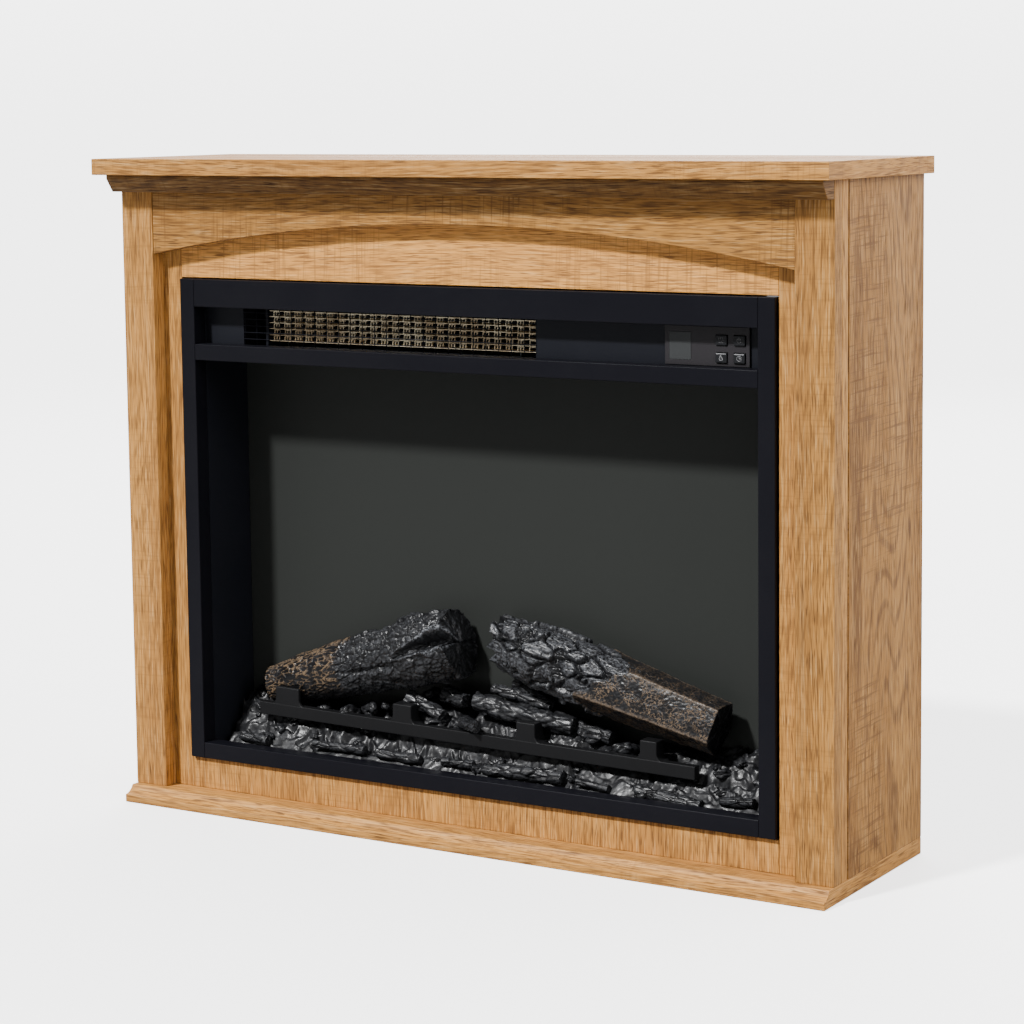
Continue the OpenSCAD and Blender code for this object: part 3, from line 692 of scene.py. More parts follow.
class TrimBars(Step, bpy.types.Operator):
    """Pressed trim bars: hollow covers with rounded front edges"""

    bl_idname = "fireplace.trim_bars"
    bl_label = "Trim bars"

    def build(self, context):
        wall = 1.5 * MM
        for name in ("trim_left", "trim_right", "trim_top", "trim_middle", "trim_bottom"):
            low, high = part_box(name)
            bm = bmesh.new()
            block(bm, low, high)
            back = next(face for face in bm.faces if face.normal.y > 0.9)
            rim = [edge for edge in bm.edges if edge not in back.edges[:]]
            round_edges(bm, rim, context.scene.metal.edge)
            back = max(bm.faces, key=lambda face: face.normal.y * face.calc_area())
            bmesh.ops.inset_region(bm, faces=[back], thickness=wall, use_even_offset=True)
            pushed = bmesh.ops.extrude_face_region(bm, geom=[back])
            bmesh.ops.delete(bm, geom=[back], context="FACES_ONLY")
            bmesh.ops.translate(bm, vec=(0, wall + low.y - high.y, 0), verts=vertices_of(pushed))
            soften(add_piece(name + "_cover", bm, "satin_black", [name]))


class Grille(Step, bpy.types.Operator):
    """Outlet grille: long wires in front, uprights behind them"""

    bl_idname = "fireplace.grille"
    bl_label = "Outlet grille"

    def build(self, context):
        low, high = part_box("outlet_grille")
        wire = 0.4 * MM
        middle, size = (low + high) / 2, high - low
        bm = bmesh.new()
        rows, columns = 7, 25
        for row in range(rows):
            z = low.z + wire + row * (size.z - 2 * wire) / (rows - 1)
            place = Matrix.Translation((middle.x, low.y + wire, z))
            rod(bm, place @ Matrix.Rotation(math.pi / 2, 4, "Y"), wire, size.x, 10)
        for column in range(columns):
            x = low.x + wire + column * (size.x - 2 * wire) / (columns - 1)
            rod(bm, Matrix.Translation((x, high.y - wire, middle.z)), wire, size.z, 8)
        piece = add_piece("outlet_grille_wires", bm, "casing_black", ["outlet_grille"])
        for face in piece.data.polygons:
            face.use_smooth = len(face.vertices) == 4


class HeatingBank(Step, bpy.types.Operator):
    """Heating bank: folded fins in rows on its carrier bars"""

    bl_idname = "fireplace.heating_bank"
    bl_label = "Heating bank"

    def build(self, context):
        low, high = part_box("heater_element")
        bm = bmesh.new()
        rows, pitch, thick, deep, lean = 5, 3.2 * MM, 0.6 * MM, 1.2 * MM, 0.5 * MM
        height = (high.z - low.z) / rows
        count = int((high.x - low.x - 8 * MM) / pitch)
        layers = (low.y, high.y - deep)
        for row in range(rows):
            z = low.z + row * height
            for fin in range(count):
                if fin % 4 == 3:
                    continue
                x = low.x + 5 * MM + fin * pitch + (row % 2) * lean
                top = z + height - 0.8 * MM
                foot = z if fin % 4 == 0 else z + 1.8 * MM
                for depth in layers:
                    for vert in block(bm, (x, depth, foot), (x + thick, depth + deep, top)):
                        if vert.co.z > z + height / 2:
                            vert.co.x += lean
                    if fin % 4 == 0:
                        block(bm, (x + 0.3 * MM, depth + 0.1 * MM, top - 0.4 * MM),
                              (x + 2 * pitch + thick, depth + 1.1 * MM, top + 0.1 * MM))
        for row in range(rows + 1):
            z = min(max(low.z + row * height, low.z + 0.4 * MM), high.z - 0.4 * MM)
            block(bm, (low.x, low.y + 0.1 * MM, z - 0.3 * MM),
                  (high.x, high.y - 0.1 * MM, z + 0.3 * MM))
        add_piece("heater_element_fins", bm, "fins", ["heater_element"])


class FlameScreen(Step, bpy.types.Operator):
    """The diffusing screen behind the logs"""

    bl_idname = "fireplace.flame_screen"
    bl_label = "Flame screen"

    def build(self, context):
        bm = eased_block("flame_screen", 0.4 * MM, 2)
        soften(add_piece("flame_screen_sheet", bm, "screen", ["flame_screen"]))


# ---- Controls ----

def cut_plate(bm, x_cuts, z_cuts, holes, front, back):
    """A flat plate between two depths, with rectangular holes where two cuts each way bound them."""
    bmesh.ops.create_grid(bm, x_segments=len(x_cuts) - 1, y_segments=len(z_cuts) - 1, size=0.5)
    columns, rows = len(x_cuts) - 1, len(z_cuts) - 1
    for vert in bm.verts:
        column = round((vert.co.x + 0.5) * columns)
        row = round((vert.co.y + 0.5) * rows)
        vert.co = (x_cuts[column], front, z_cuts[row])
    gone = []
    for face in bm.faces:
        centre = face.calc_center_median()
        if any(x0 < centre.x < x1 and z0 < centre.z < z1 for x0, x1, z0, z1 in holes):
            gone.append(face)
    bmesh.ops.delete(bm, geom=gone, context="FACES")
    grown = bmesh.ops.extrude_face_region(bm, geom=bm.faces[:])
    bmesh.ops.translate(bm, vec=(0, back - front, 0), verts=vertices_of(grown))
    bmesh.ops.recalc_face_normals(bm, faces=bm.faces[:])


PANEL_THICK = 2.6 * MM
FLANGE = 0.8 * MM


class ControlPanel(Step, bpy.types.Operator):
    """Control panel with its display window"""

    bl_idname = "fireplace.control_panel"
    bl_label = "Control panel"

    def build(self, context):
        low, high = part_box("control_panel")
        window_low, window_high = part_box("display_window")
        edge = FLANGE - 0.3 * MM
        holes = [(window_low.x - 0.1 * MM, window_high.x + 0.1 * MM,
                  window_low.z - 0.1 * MM, window_high.z + 0.1 * MM)]
        for name in SIGNS:
            cap_low, cap_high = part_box(name)
            holes.append((cap_low.x + edge, cap_high.x - edge, cap_low.z + edge, cap_high.z - edge))
        x_cuts = sorted({low.x, high.x} | {round(x, 6) for hole in holes for x in hole[:2]})
        z_cuts = sorted({low.z, high.z} | {round(z, 6) for hole in holes for z in hole[2:]})
        bm = bmesh.new()
        cut_plate(bm, x_cuts, z_cuts, holes, low.y, low.y + PANEL_THICK)
        round_edges(bm, sharp_edges(bm), 0.3 * MM, 2)
        soften(add_piece("control_panel_plate", bm, "panel_black", ["control_panel"]))
        bm = eased_block("display_window", 0.3 * MM, 2)
        soften(add_piece("display_window_lens", bm, "smoke", ["display_window"]))


def strokes(bm, paths, width, depth, place):
    """Thin raised lines along each path of (x, z) points, at a place on the front."""
    for path in paths:
        for start, end in zip(path, path[1:]):
            start, end = Vector((start[0], 0, start[1])), Vector((end[0], 0, end[1]))
            run = end - start
            turn = Matrix.Rotation(-math.atan2(run.z, run.x), 4, "Y")
            size = Matrix.Diagonal((run.length + width, depth, width, 1))
            bmesh.ops.create_cube(bm, size=1.0,
                                  matrix=Matrix.Translation(place + (start + end) / 2) @ turn @ size)


def arc_path(radius, start, end, steps=14, centre=(0, 0)):
    angles = [math.radians(start + (end - start) * step / steps) for step in range(steps + 1)]
    return [(centre[0] + radius * math.cos(a), centre[1] + radius * math.sin(a)) for a in angles]


def wave_path(x, height, swing):
    return [(x + swing * math.sin(t * math.pi / 4), height * (t / 8 - 0.5)) for t in range(9)]


SIGNS = {
    "button_power": [arc_path(2.1, 130, 410), [(0, 0.6), (0, 2.7)]],
    "button_heat": [wave_path(-1.8, 4.2, 0.5), wave_path(0, 4.2, 0.5), wave_path(1.8, 4.2, 0.5)],
    "button_flame": [[(0, 2.6), (-1.5, 0.4), (-1.7, -1.0), (-0.8, -2.3), (0.8, -2.3), (1.7, -1.0),
                      (1.2, 0.4), (0.5, -0.3), (0, 2.6)]],
    "button_timer": [arc_path(2.3, 0, 360), [(0, 1.5), (0, 0), (1.2, 0)]],
}
LIT_BARS = ("button_flame", "button_timer")


class PushButtons(Step, bpy.types.Operator):
    """Four push buttons, each with its sign"""

    bl_idname = "fireplace.push_buttons"
    bl_label = "Push buttons"

    def build(self, context):
        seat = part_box("control_panel")[0].y + PANEL_THICK
        for name, sign in SIGNS.items():
            low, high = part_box(name)
            bm = bmesh.new()
            cap = block(bm, (low.x + FLANGE, low.y, low.z + FLANGE),
                        (high.x - FLANGE, seat + 0.5 * MM, high.z - FLANGE))
            edges = [edge for edge in bm.edges if any(vert in cap for vert in edge.verts)
                     and min(vert.co.y for vert in edge.verts) < seat]
            round_edges(bm, edges, 0.7 * MM, 4)
            middle = (low + high) / 2
            block(bm, (low.x, seat + 0.1 * MM, low.z), (high.x, seat + 1.4 * MM, high.z))
            stem = Matrix.Translation((middle.x, (seat + 1 * MM + high.y) / 2, middle.z))
            stem = stem @ Matrix.Rotation(math.pi / 2, 4, "X")
            rod(bm, stem, 2 * MM, high.y - seat - 1 * MM, 24)
            soften(add_piece(name + "_cap", bm, "button_black", [name], name))
            bm = bmesh.new()
            paths = [[(x * MM, z * MM) for x, z in path] for path in sign]
            place = Vector((middle.x, low.y, middle.z))
            strokes(bm, paths, 0.45 * MM, 0.1 * MM, place)
            lit = name in LIT_BARS
            if lit:
                half = (high.x - low.x) / 2 - 1.9 * MM
                bar = high.z - middle.z - 1.7 * MM
                strokes(bm, [[(-half, bar), (half, bar)]], 0.55 * MM, 0.12 * MM, place)
            look = "sign_print" if lit else "sign_faint"
            add_piece(name + "_sign", bm, look, (), name)


# ---- Log set ----

def step_up(value, low, high):
    """Smooth step from 0 at low to 1 at high."""
    share = min(max((value - low) / (high - low), 0.0), 1.0)
    return share * share * (3 - 2 * share)


def cracks(point, narrow=0.03, wide=0.20):
    """How close a point is to a crack between plates, 1 in it, and the plate's own random value."""
    distances, centres = noise.voronoi(point)
    gap = distances[1] - distances[0]
    return 1 - step_up(gap, narrow, wide), noise.cell(centres[0] * 3.7)


def fractal(point, octaves=4):
    return noise.fractal(point, 1.0, 2.0, octaves)


class LogShape:
    """A bar along a straight line whose girth follows a list of radii, carved by a relief function."""

    def __init__(self, start, end, radii, squash=1.0):
        self.start, self.end = Vector(start), Vector(end)
        self.radii = radii
        self.squash = squash
        self.axis = (self.end - self.start).normalized()
        self.front = (FRONT - self.axis * FRONT.dot(self.axis)).normalized()
        self.up = self.axis.cross(self.front)
        if self.up.z < 0:
            self.up.negate()
        self.length = (self.end - self.start).length

    def radius(self, along):
        """Radius part of the way along, between the listed ones."""
        place = along * (len(self.radii) - 1)
        index = min(int(place), len(self.radii) - 2)
        share = step_up(place - index, 0, 1)
        return self.radii[index] * (1 - share) + self.radii[index + 1] * share

    def build(self, relief, rows, columns, cap=0.085):
        """Carves the bar: relief(along, angle, radius, spread) gives height, push, gold paint, net and
        ash; the gold and ash marks also hold painted highlights.

        An angle of 0 faces the front and a quarter turn faces up. Past each end along stays at 0
        or 1 while spread falls from 1 at the rim to 0 in the middle of the end face.
        """
        bm = bmesh.new()
        bmesh.ops.create_grid(bm, x_segments=rows, y_segments=columns, size=0.5)
        layers = mark_layers(bm)
        for vert in bm.verts:
            share = vert.co.x + 0.5
            angle = (vert.co.y + 0.5) * 2 * math.pi
            if share < cap:
                along, spread = 0.0, share / cap
            elif share > 1 - cap:
                along, spread = 1.0, (1 - share) / cap
            else:
                along, spread = (share - cap) / (1 - 2 * cap), 1.0
            radius = self.radius(along)
            height, push, *marks = relief(along, angle, radius, spread)
            reach = (radius + height) * spread
            outward = self.front * math.cos(angle) * self.squash + self.up * math.sin(angle)
            vert.co = self.start.lerp(self.end, along) + outward * reach + self.axis * push
            for layer, mark in zip(layers, marks):
                vert[layer] = mark
        bmesh.ops.remove_doubles(bm, verts=bm.verts[:], dist=0.02 * MM)
        bmesh.ops.recalc_face_normals(bm, faces=bm.faces[:])
        return bm


def surface_point(along, angle, radius, length):
    """A point on a straight copy of the bar, in centimetres, for patterns that close round it."""
    return Vector((radius * math.cos(angle), radius * math.sin(angle), along * length)) * 100


def rim_point(angle, scale):
    return Vector((math.cos(angle), math.sin(angle), 0)) * scale


def wrapped(angle, centre):
    """The signed way round from a centre angle."""
    return (angle - centre + math.pi) % (2 * math.pi) - math.pi


def left_relief(length):
    """Left log: ribbed bark low down, knobbly char above, and an open split at the upper end."""

    def relief(along, angle, radius, spread):
        point = surface_point(along, angle, radius, length)
        edge = 0.43 + 0.05 * noise.noise(rim_point(angle, 1.6))
        bark = 1 - step_up(along, edge, edge + 0.012)
        fibre = Vector((point.x * 2.3, point.y * 2.3, point.z * 0.75 + point.y * 1.1))
        gap, _ = cracks(fibre + Vector((1, 1, 1)) * 0.30 * fractal(point * 1.3), 0.04, 0.14)
        bark_height = gap * 1.0 * MM + 0.6 * MM + 0.8 * MM * fractal(point * 0.5)
        crack, value = cracks(Vector((point.x * 1.35, point.y * 1.35, point.z * 0.9)))
        knob = 0.9 * MM * fractal(point * 2.4, 5) + 0.9 * MM * noise.noise(point * 4.2)
        swell = 2.2 * MM * noise.noise(point * 0.45)
        char_height = (value * 1.8 - 1.0) * MM - crack * 1.3 * MM + knob + swell
        seam = math.exp(-(wrapped(angle, -0.15 - 0.5 * (along - 0.5)) / 0.09) ** 2)
        char_height -= seam * step_up(along, 0.42, 0.50) * (1 - step_up(along, 0.66, 0.76)) * 4.5 * MM
        height = bark * bark_height + (1 - bark) * char_height
        mouth = step_up(along, 0.68, 1.0)
        width = 0.06 + 0.20 * mouth + 0.05 * noise.noise(Vector((along * 18, 0, 3)))
        away = abs(wrapped(angle, 0.02 + 0.30 * mouth)) / width
        gash = mouth * (1 - step_up(away, 0.55, 1.1))
        lip = mouth * math.exp(-((away - 1.25) / 0.22) ** 2)
        height += lip * 1.8 * MM - gash * 24 * MM
        push = 0.0
        if spread < 1 or along in (0.0, 1.0):
            rough = fractal(rim_point(angle, spread * 3) + Vector((7, 7, 7)))
            upper = step_up(math.sin(wrapped(angle, 0.3)), -0.2, 0.5)
            if along == 1.0:
                inner = gash * step_up(spread, 0.0, 0.5)
                push = (1.5 * rough + upper * 5 * (1 - spread * spread) - inner * 9 - 2) * MM
            else:
                push = rough * 0.5 * MM
        gold_and_highlight = bark * gap * step_up(spread, 0.9, 1.0) * step_up(math.sin(angle), -0.75, -0.25)
        gold_and_highlight *= step_up(fractal(point * 0.8 + Vector((4, 4, 4))), -0.5, 0.0)
        # The lip term paints the split's edges pale. This is a painted highlight along its rims, on top
        # of the char's ash.
        ash_and_highlight = (1 - bark) * 0.25 * (1 - crack) + lip * 1.6
        return height, push, gold_and_highlight, 0.0, ash_and_highlight

    return relief


def right_relief(length):
    """Right log: big char blocks at the torn upper end, flat-sided bark below with a clean cut end."""
    sides = 2 * math.pi / 5

    def relief(along, angle, radius, spread):
        point = surface_point(along, angle, radius, length)
        tongue = 0.09 * math.sin(angle * 2.0 - 0.5) + 0.05 * noise.noise(rim_point(angle, 3.2))
        edge = 0.50 + tongue
        bark = step_up(along, edge, edge + 0.010)
        turned = (angle + 0.349) % sides
        corner = math.exp(-(min(turned, sides - turned) / 0.055) ** 2)
        flat = math.cos(sides / 2) / math.cos(turned - sides / 2)
        bark_height = radius * ((flat - 1) * 0.85 + 0.075) + 0.6 * MM * fractal(point * 0.8)
        bark_height += 0.45 * MM * noise.noise(point * 4.6)
        warp = Vector((1, 1, 1)) * 0.20 * fractal(point * 0.5)
        plates = Vector((point.x * 0.50, point.y * 0.50, point.z * 0.34)) + warp
        crack, value = cracks(plates, 0.02, 0.15)
        grain = noise.noise(Vector((point.x * 6, point.y * 6, point.z * 0.9)))
        split, _ = cracks(Vector((point.x * 1.5, point.y * 1.5, point.z * 0.5)) + warp * 2, 0.0, 0.10)
        char_height = (value * 3.8 - 1.4) * MM - crack * 4.6 * MM - split * 1.0 * MM
        char_height += 0.40 * MM * fractal(point * 1.6, 4) + 0.50 * MM * grain
        height = bark * bark_height + (1 - bark) * char_height
        tear = 1 - step_up(along, 0.0, 0.14)
        _, block_value = cracks(rim_point(angle, 1.9) + Vector((3, 5, spread * 0.8)))
        below = 1 - step_up(math.sin(angle - 0.25), -0.9, 0.95)
        height -= tear * 2.5 * MM
        push = tear * (below * 11 + block_value * 9 - 6) * MM
        if along == 0.0:
            rough = fractal(rim_point(angle, spread * 3) + Vector((2, 2, 2)))
            push += (5 * (1 - spread) + 3 * rough * (1 - spread)) * MM
        elif along == 1.0:
            push = 0.6 * MM * fractal(rim_point(angle, spread * 5))
        side = step_up(spread, 0.93, 1.0)
        patch = step_up(fractal(point * 0.9 + Vector((3, 3, 3))), -0.55, -0.05)
        top = step_up(math.sin(angle), 0.75, 0.95)
        net = bark * side * patch * (1 - 0.45 * top)
        # Along the facet corners the gold and the pale ash marks are painted highlights. They stand in
        # for light caught by the ridges.
        gold_and_highlight = bark * side * corner * 0.6
        ash_and_highlight = (1 - bark) * (1 - crack) * 0.5 + bark * corner * 0.5
        return height, push, gold_and_highlight, net, ash_and_highlight

    return relief


class Logs(Step, bpy.types.Operator):
    """The two cast logs"""

    bl_idname = "fireplace.logs"
    bl_label = "Logs"

    def build(self, context):
        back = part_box("flame_screen")[0].y
        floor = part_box("ember_bed")[0].z
        logs = (
            ("log_left", left_relief, (-0.268, back - 0.0180, floor + 0.066),
             (-0.036, back - 0.0325, floor + 0.1345),
             (0.0180, 0.0235, 0.0275, 0.0312, 0.0362, 0.0352), 0.82),
            ("log_right", right_relief, (0.012, back - 0.0315, floor + 0.140),
             (0.247, back - 0.0310, floor + 0.0800),
             (0.0285, 0.0330, 0.0322, 0.0295, 0.0268, 0.0252), 0.90),
        )
        for name, maker, start, end, radii, squash in logs:
            shape = LogShape(start, end, radii, squash)
            bm = shape.build(maker(shape.length), 350, 250)
            smooth_piece(add_piece(name + "_casting", bm, "resin", [name]))


class EmberBed(Step, bpy.types.Operator):
    """The moulded bed with its coals and short charred sticks"""

    bl_idname = "fireplace.ember_bed"
    bl_label = "Ember bed"

    def build(self, context):
        low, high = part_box("ember_bed")
        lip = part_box("trim_bottom")[1].z
        bm = bmesh.new()
        bmesh.ops.create_grid(bm, x_segments=520, y_segments=84, size=0.5)
        layers = mark_layers(bm)
        for vert in bm.verts:
            x = low.x + (vert.co.x + 0.5) * (high.x - low.x)
            y = low.y + (vert.co.y + 0.5) * (high.y - low.y)
            z, ash_and_highlight = self.ground(x, y, low, high, lip)
            vert.co = (x, y, z)
            vert[layers[2]] = ash_and_highlight
        rim = [edge for edge in bm.edges if edge.is_boundary]
        for vert in vertices_of(bmesh.ops.extrude_edge_only(bm, edges=rim)):
            vert.co.z = low.z
        bmesh.ops.holes_fill(bm, edges=[edge for edge in bm.edges if edge.is_boundary], sides=0)
        bmesh.ops.recalc_face_normals(bm, faces=bm.faces[:])
        smooth_piece(add_piece("ember_bed_moulding", bm, "char", ["ember_bed"]))
        self.scatter(context.scene.fire, low, high, lip)
        self.sticks(low, lip)

    def ground(self, x, y, low, high, lip):
        """Height of the bed and how pale it is: a slope up to the screen, broken into lumps."""
        share = (y - low.y) / (high.y - low.y)
        slope = lip - 4 * MM + 42 * MM * math.sin(min(max(share - 0.12, 0) * 1.2, 1.0) * math.pi / 2)
        heap = step_up(x, -0.125, -0.095) * (1 - step_up(x, 0.085, 0.115)) * step_up(share, 0.30, 0.55)
        ends = step_up(abs(x + 0.005), 0.20, 0.26) * step_up(share, 0.20, 0.75)
        slope += heap * 15 * MM + ends * 7 * MM
        point = Vector((x, y * 1.1, slope * 1.3)) * 100
        swirl = Vector([noise.noise(point * 0.35 + Vector((9, 3, 1)) * turn) for turn in range(3)])
        gap, value = cracks(point * 0.58 + swirl * 0.9, 0.02, 0.30)
        small, _ = cracks(point * 1.5 + swirl, 0.02, 0.25)
        lumps = (value * 9 - 4.5) * MM * (1 - gap) - gap * 2.5 * MM
        ripple = 1.3 * MM * math.sin(10 * noise.noise(point * 0.5) + 4 * swirl.x)
        detail = 1.4 * MM * fractal(point * 0.8, 3) - small * 0.9 * MM
        calm = 0.30 + 0.40 * step_up(share, 0.14, 0.34) + 0.30 * ends
        return max(slope + (lumps + detail + ripple) * calm, low.z + 4 * MM), 0.15 * (1 - gap)

    def scatter(self, fire, low, high, lip):
        """Loose coals over the bed."""
        draw = random.Random(fire.seed)
        bm = bmesh.new()
        mark_layers(bm)
        for _ in range(46):
            x = draw.uniform(low.x + 0.012, high.x - 0.012)
            y = draw.uniform(low.y + 0.014, high.y - 0.012)
            radius = fire.coal * draw.uniform(0.45, 1.15)
            z, _ = self.ground(x, y, low, high, lip)
            self.coal(bm, Vector((x, y, z)), radius, draw)
        for x, y, z, radius in ((-0.168, -0.018, 0.099, 0.0100), (-0.150, -0.008, 0.104, 0.0085),
                                (0.128, -0.020, 0.094, 0.0105), (0.146, -0.014, 0.098, 0.0090),
                                (0.110, -0.010, 0.102, 0.0085), (-0.130, -0.004, 0.108, 0.0080),
                                (-0.080, 0.000, 0.124, 0.0090), (-0.060, -0.004, 0.122, 0.0075)):
            self.coal(bm, Vector((x, y, z)), radius, draw)
        smooth_piece(add_piece("ember_bed_coals", bm, "char"))

    def coal(self, bm, place, radius, draw):
        """One lump: a ball pulled out of round and chipped."""
        made = bmesh.ops.create_icosphere(bm, subdivisions=4, radius=1.0)["verts"]
        ash_layer = bm.verts.layers.float["ash_and_highlight"]
        size = Vector((draw.uniform(0.9, 1.6), draw.uniform(0.7, 1.1), draw.uniform(0.6, 0.95))) * radius
        seed = Vector([draw.uniform(0, 50) for _ in range(3)])
        turn = Matrix.Rotation(draw.uniform(0, math.pi), 3, "Z")
        turn = turn @ Matrix.Rotation(draw.uniform(-0.5, 0.5), 3, "X")
        for vert in made:
            crack, value = cracks(vert.co * 1.1 + seed, 0.02, 0.25)
            swell = 1 + 0.20 * fractal(vert.co + seed, 3) + 0.22 * (value - 0.5) - 0.10 * crack
            vert[ash_layer] = 0.18 * (1 - crack)
            vert.co = turn @ Vector([vert.co[i] * size[i] * swell for i in range(3)]) + place

    def sticks(self, low, lip):
        """The row of short sticks behind the lip and the ones heaped in the middle."""
        draw = random.Random(3)
        front = low.y + 8 * MM
        row = ((-0.286, 0.034, 6.5, 3.0), (-0.197, 0.062, 5.0, 4.5), (-0.121, 0.052, 5.5, 4.5),
               (-0.044, 0.036, 5.0, 4.0), (0.002, 0.088, 7.0, 2.5), (0.106, 0.036, 4.5, 3.0),
               (0.170, 0.070, 7.5, 2.0), (0.258, 0.034, 4.5, 3.0))
        places = []
        for x, length, radius, rise in row:
            tilt = draw.uniform(-0.10, 0.10)
            place = (x, front + radius * 0.35 * MM, lip + (rise + 1) * MM)
            places.append((place, (1, 0.4 * tilt, tilt), length, radius * MM))
        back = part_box("flame_screen")[0].y
        places += [((-0.020, back - 0.0305, 0.1265), (1, 0.04, -0.125), 0.110, 0.0098),
                   ((-0.008, back - 0.0150, 0.1375), (1, -0.08, -0.145), 0.070, 0.0066),
                   ((0.012, back - 0.0090, 0.1430), (1, -0.20, -0.270), 0.048, 0.0060),
                   ((-0.098, back - 0.0290, 0.1225), (1, -0.10, -0.300), 0.046, 0.0082),
                   ((-0.062, back - 0.0180, 0.1280), (1, -0.35, -0.100), 0.034, 0.0085),
                   ((-0.030, back - 0.0400, 0.1080), (1, -0.55, -0.020), 0.030, 0.0068),
                   ((0.090, back - 0.0200, 0.1120), (1, -0.10, -0.150), 0.040, 0.0075)]
        bm = bmesh.new()
        for place, run, length, radius in places:
            self.stick(bm, Vector(place), Vector(run).normalized() * length, radius, draw)
        smooth_piece(add_piece("ember_bed_sticks", bm, "char"))

    def stick(self, bm, place, run, radius, draw):
        """A short charred stick with flat broken ends."""
        shape = LogShape(place, place + run, [radius * draw.uniform(0.85, 1.05) for _ in range(3)])
        seed = Vector([draw.uniform(0, 50) for _ in range(3)])

        def relief(along, angle, size, spread):
            point = surface_point(along, angle, size, shape.length)
            crack, value = cracks(Vector((point.x, point.y, point.z * 0.5)) * 1.3 + seed, 0.02, 0.22)
            grain = noise.noise(Vector((point.x * 7, point.y * 7, point.z * 1.2)) + seed)
            height = radius * ((value - 0.5) * 0.20 - crack * 0.12 + grain * 0.05)
            push = 0.15 * radius * fractal(point * 2 + seed) if along in (0.0, 1.0) else 0.0
            return height, push, 0.0, 0.0, 0.22 * (1 - crack)

        merge(bm, shape.build(relief, 74, 56, 0.10))


class Grate(Step, bpy.types.Operator):
    """Cast grate: a front bar with four stub posts on filleted feet"""

    bl_idname = "fireplace.grate"
    bl_label = "Grate"

    def build(self, context):
        half, top, thick = 0.250, 6.4 * MM, 4.5 * MM
        fillet, crest = 6 * MM, 24 * MM
        posts = ((-0.2155, 29, 4.5), (-0.076, 22, 17), (0.0665, 21, 17), (0.2005, 18, 15))
        bm = bmesh.new()
        bar = block(bm, (-half, -thick, -top), (half, thick, top))
        round_edges(bm, {edge for vert in bar for edge in vert.link_edges}, 0.9 * MM, 3)
        for x, width, depth in posts:
            left, right = x - width / 2 * MM, x + width / 2 * MM
            sweep = [a * math.pi / 14 for a in range(8)]
            points = [(left - fillet, 0), (right + fillet, 0)]
            curve = [(fillet * (1 - math.sin(a)), top + fillet * (1 - math.cos(a))) for a in sweep]
            points += [(right + out, z) for out, z in curve]
            points += [(right, crest), (left, crest)]
            points += [(left - out, z) for out, z in reversed(curve)]
            part = bmesh.new()
            front = 0.2 * MM - thick
            outline_prism(part, [(u, front, w) for u, w in points], (0, (depth - 0.2) * MM, 0))
            round_edges(part, sharp_edges(part), 1.3 * MM, 4)
            merge(bm, part)
            block(bm, (x - 4 * MM, 0, -top + 0.5 * MM), (x + 4 * MM, 18 * MM, top - 5 * MM))
        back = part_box("flame_screen")[0].y
        centre = Vector((-0.019, back - 43.5 * MM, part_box("ember_bed")[0].z + 44.4 * MM))
        turn = Matrix.Rotation(math.radians(-0.8), 4, "Z") @ Matrix.Rotation(math.radians(0.84), 4, "Y")
        bmesh.ops.transform(bm, matrix=Matrix.Translation(centre) @ turn, verts=bm.verts[:])
        soften(add_piece("grate_casting", bm, "grate_black_and_gap_shade", ["grate"]))


# ---- Pieces that keep their CAD shape ----

class CarriedPieces(Step, bpy.types.Operator):
    """Finishes for the pieces that keep their CAD shape"""

    bl_idname = "fireplace.carried_pieces"
    bl_label = "Carried pieces"

    def build(self, context):
        looks = {
            "casing_black": ("casing_left", "casing_right", "casing_top", "casing_bottom", "duct_plate",
                             "fascia_plate", "heater_brackets"),
            "zinc_sheet": ("rear_cover", "reflector_plate", "blower_housing"),
            "zinc_plate": ("mounting_screws", "cover_screws", "cam_locks", "thermal_cutout"),
            "chipboard": ("dowels",),
            # The chipboard corner cleats take this black so that the 2 mm gap between stile and side
            # panel reads dark. This is painted shade.
            "grate_black_and_gap_shade": ("corner_cleats",),
            "motor_grey": ("blower_motor", "rotor_motor"),
            "wheel_black": ("blower_wheel",),
            "brass": ("blower_bush", "rotor_bush"),
            "foil": ("flame_rotor",),
            "board_green": ("control_board", "power_board", "led_strip"),
            "bush_black": ("cord_inlet",),
        }
        for look, names in looks.items():
            for name in names:
                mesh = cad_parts[name].data
                mesh.materials.clear()
                mesh.materials.append(finish(look))


# ---- Stage ----

def camera_ray(tree):
    return node(tree, "LightPath").outputs["Is Camera Ray"]


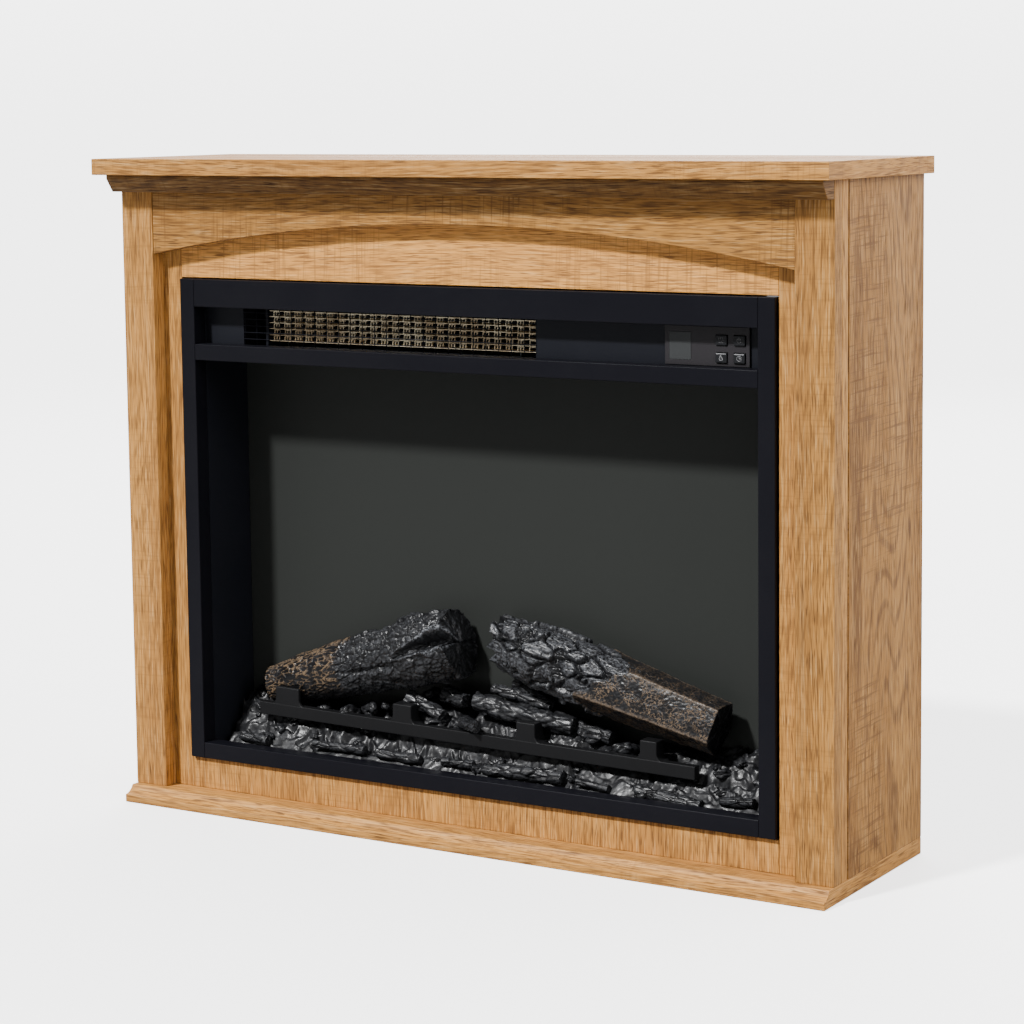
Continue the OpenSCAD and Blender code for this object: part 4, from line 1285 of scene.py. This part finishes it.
class Stage(Step, bpy.types.Operator):
    """Floor, lights and camera"""

    bl_idname = "fireplace.stage"
    bl_label = "Stage"

    def build(self, context):
        stage = context.scene.stage
        self.floor(stage)
        self.light("key", "SUN", (-1.0, -2.6, 3.1), math.radians(5), 6.8)
        self.light("fill", "AREA", (2.8, -0.7, 1.9), 1.8, 75)
        self.light("back", "AREA", (-1.2, 3.0, 2.2), 2.0, 70)
        self.world(context)
        self.camera(context, stage)

    def world(self, context):
        """White studio walls behind the object, darker ones in front. The camera sees them brighter
        than they light the object, which keeps the backdrop white."""
        world = bpy.data.worlds.new("studio")
        world.use_nodes = True
        tree = world.node_tree
        backdrop = tree.nodes["Background"]
        way = node(tree, "TexCoord").outputs["Generated"]
        _, away, rise = node(tree, "SeparateXYZ", {0: way}).outputs
        wall = ramp(tree, away, -0.10, 0.55, 0.30, 2.5)
        seen = times(tree, camera_ray(tree), ramp(tree, rise, -0.02, 0.09, 4.4, 5.4))
        wall = calc(tree, "MAXIMUM", wall, seen)
        feed(tree, backdrop, {"Color": (1, 1, 1, 1), "Strength": wall})
        context.scene.world = world

    def floor(self, stage):
        """A floor that the camera sees bright, and that throws little light back at the object."""
        bm = bmesh.new()
        bmesh.ops.create_grid(bm, x_segments=1, y_segments=1, size=12)
        material, tree, shader = blank_material("floor")
        cloud = grey_noise(tree, object_coords(tree), 3.0)
        tint = tinted(tree, cloud, stage.floor, scaled(stage.floor, 0.98))
        seen, glow = camera_ray(tree), 2.1
        feed(tree, shader, {"Base Color": tinted(tree, seen, scaled(stage.floor, 0.30), tint),
                            "Roughness": 0.8, "Emission Color": (1, 1, 1, 1),
                            "Emission Strength": times(tree, seen, glow)})
        placed_object("floor", baked("floor", bm, material))

    def light(self, name, kind, place, spread, power):
        """A lamp aimed at the object; spread is an area lamp's size or a sun's angle."""
        data = bpy.data.lights.new(name, kind)
        setattr(data, "angle" if kind == "SUN" else "size", spread)
        data.energy = power
        lamp = placed_object(name, data)
        lamp.location = place
        aim = Vector((0, 0, 0.33)) - lamp.location
        lamp.rotation_euler = aim.to_track_quat("-Z", "Y").to_euler()

    def camera(self, context, stage):
        """The camera looks along +Y before its pitch, roll and yaw turn it."""
        data = bpy.data.cameras.new("camera")
        data.lens = stage.lens
        data.shift_x, data.shift_y = stage.shift
        pitch, roll, yaw = stage.turn
        upright = Matrix.Rotation(math.pi / 2, 4, "X")
        turn = Matrix.Rotation(yaw, 4, "Z") @ Matrix.Rotation(pitch, 4, "X")
        turn = turn @ Matrix.Rotation(roll, 4, "Y")
        camera = placed_object("camera", data)
        camera.matrix_world = Matrix.Translation(stage.place) @ turn @ upright
        context.scene.camera = camera


# ---- Add-on ----

SETTINGS = {"oak": OakSettings, "metal": MetalSettings, "fire": FireSettings, "stage": StageSettings}
OPERATORS = (MantelBoards, ArchRail, Mouldings, TrimBars, Grille, HeatingBank, FlameScreen, ControlPanel,
             PushButtons, Logs, EmberBed, Grate, CarriedPieces, Stage)


class FireplacePanel(bpy.types.Panel):
    """Lists the settings and the operators"""

    bl_idname = "VIEW3D_PT_fireplace"
    bl_label = "Fireplace"
    bl_space_type = "VIEW_3D"
    bl_region_type = "UI"
    bl_category = "Fireplace"

    def draw(self, context):
        for name, settings in SETTINGS.items():
            box = self.layout.box()
            box.label(text=name.capitalize())
            for key in settings.__annotations__:
                box.prop(getattr(context.scene, name), key)
        for operator in OPERATORS:
            self.layout.operator(operator.bl_idname)


def register():
    for item in (*SETTINGS.values(), *OPERATORS, FireplacePanel):
        bpy.utils.register_class(item)
    for name, settings in SETTINGS.items():
        setattr(bpy.types.Scene, name, bpy.props.PointerProperty(type=settings))


def unregister():
    for name in SETTINGS:
        delattr(bpy.types.Scene, name)
    for item in reversed((*SETTINGS.values(), *OPERATORS, FireplacePanel)):
        bpy.utils.unregister_class(item)


def main():
    register()
    for operator in OPERATORS:
        getattr(bpy.ops.fireplace, operator.bl_idname.split(".")[1])()


if __name__ == "__main__":
    main()
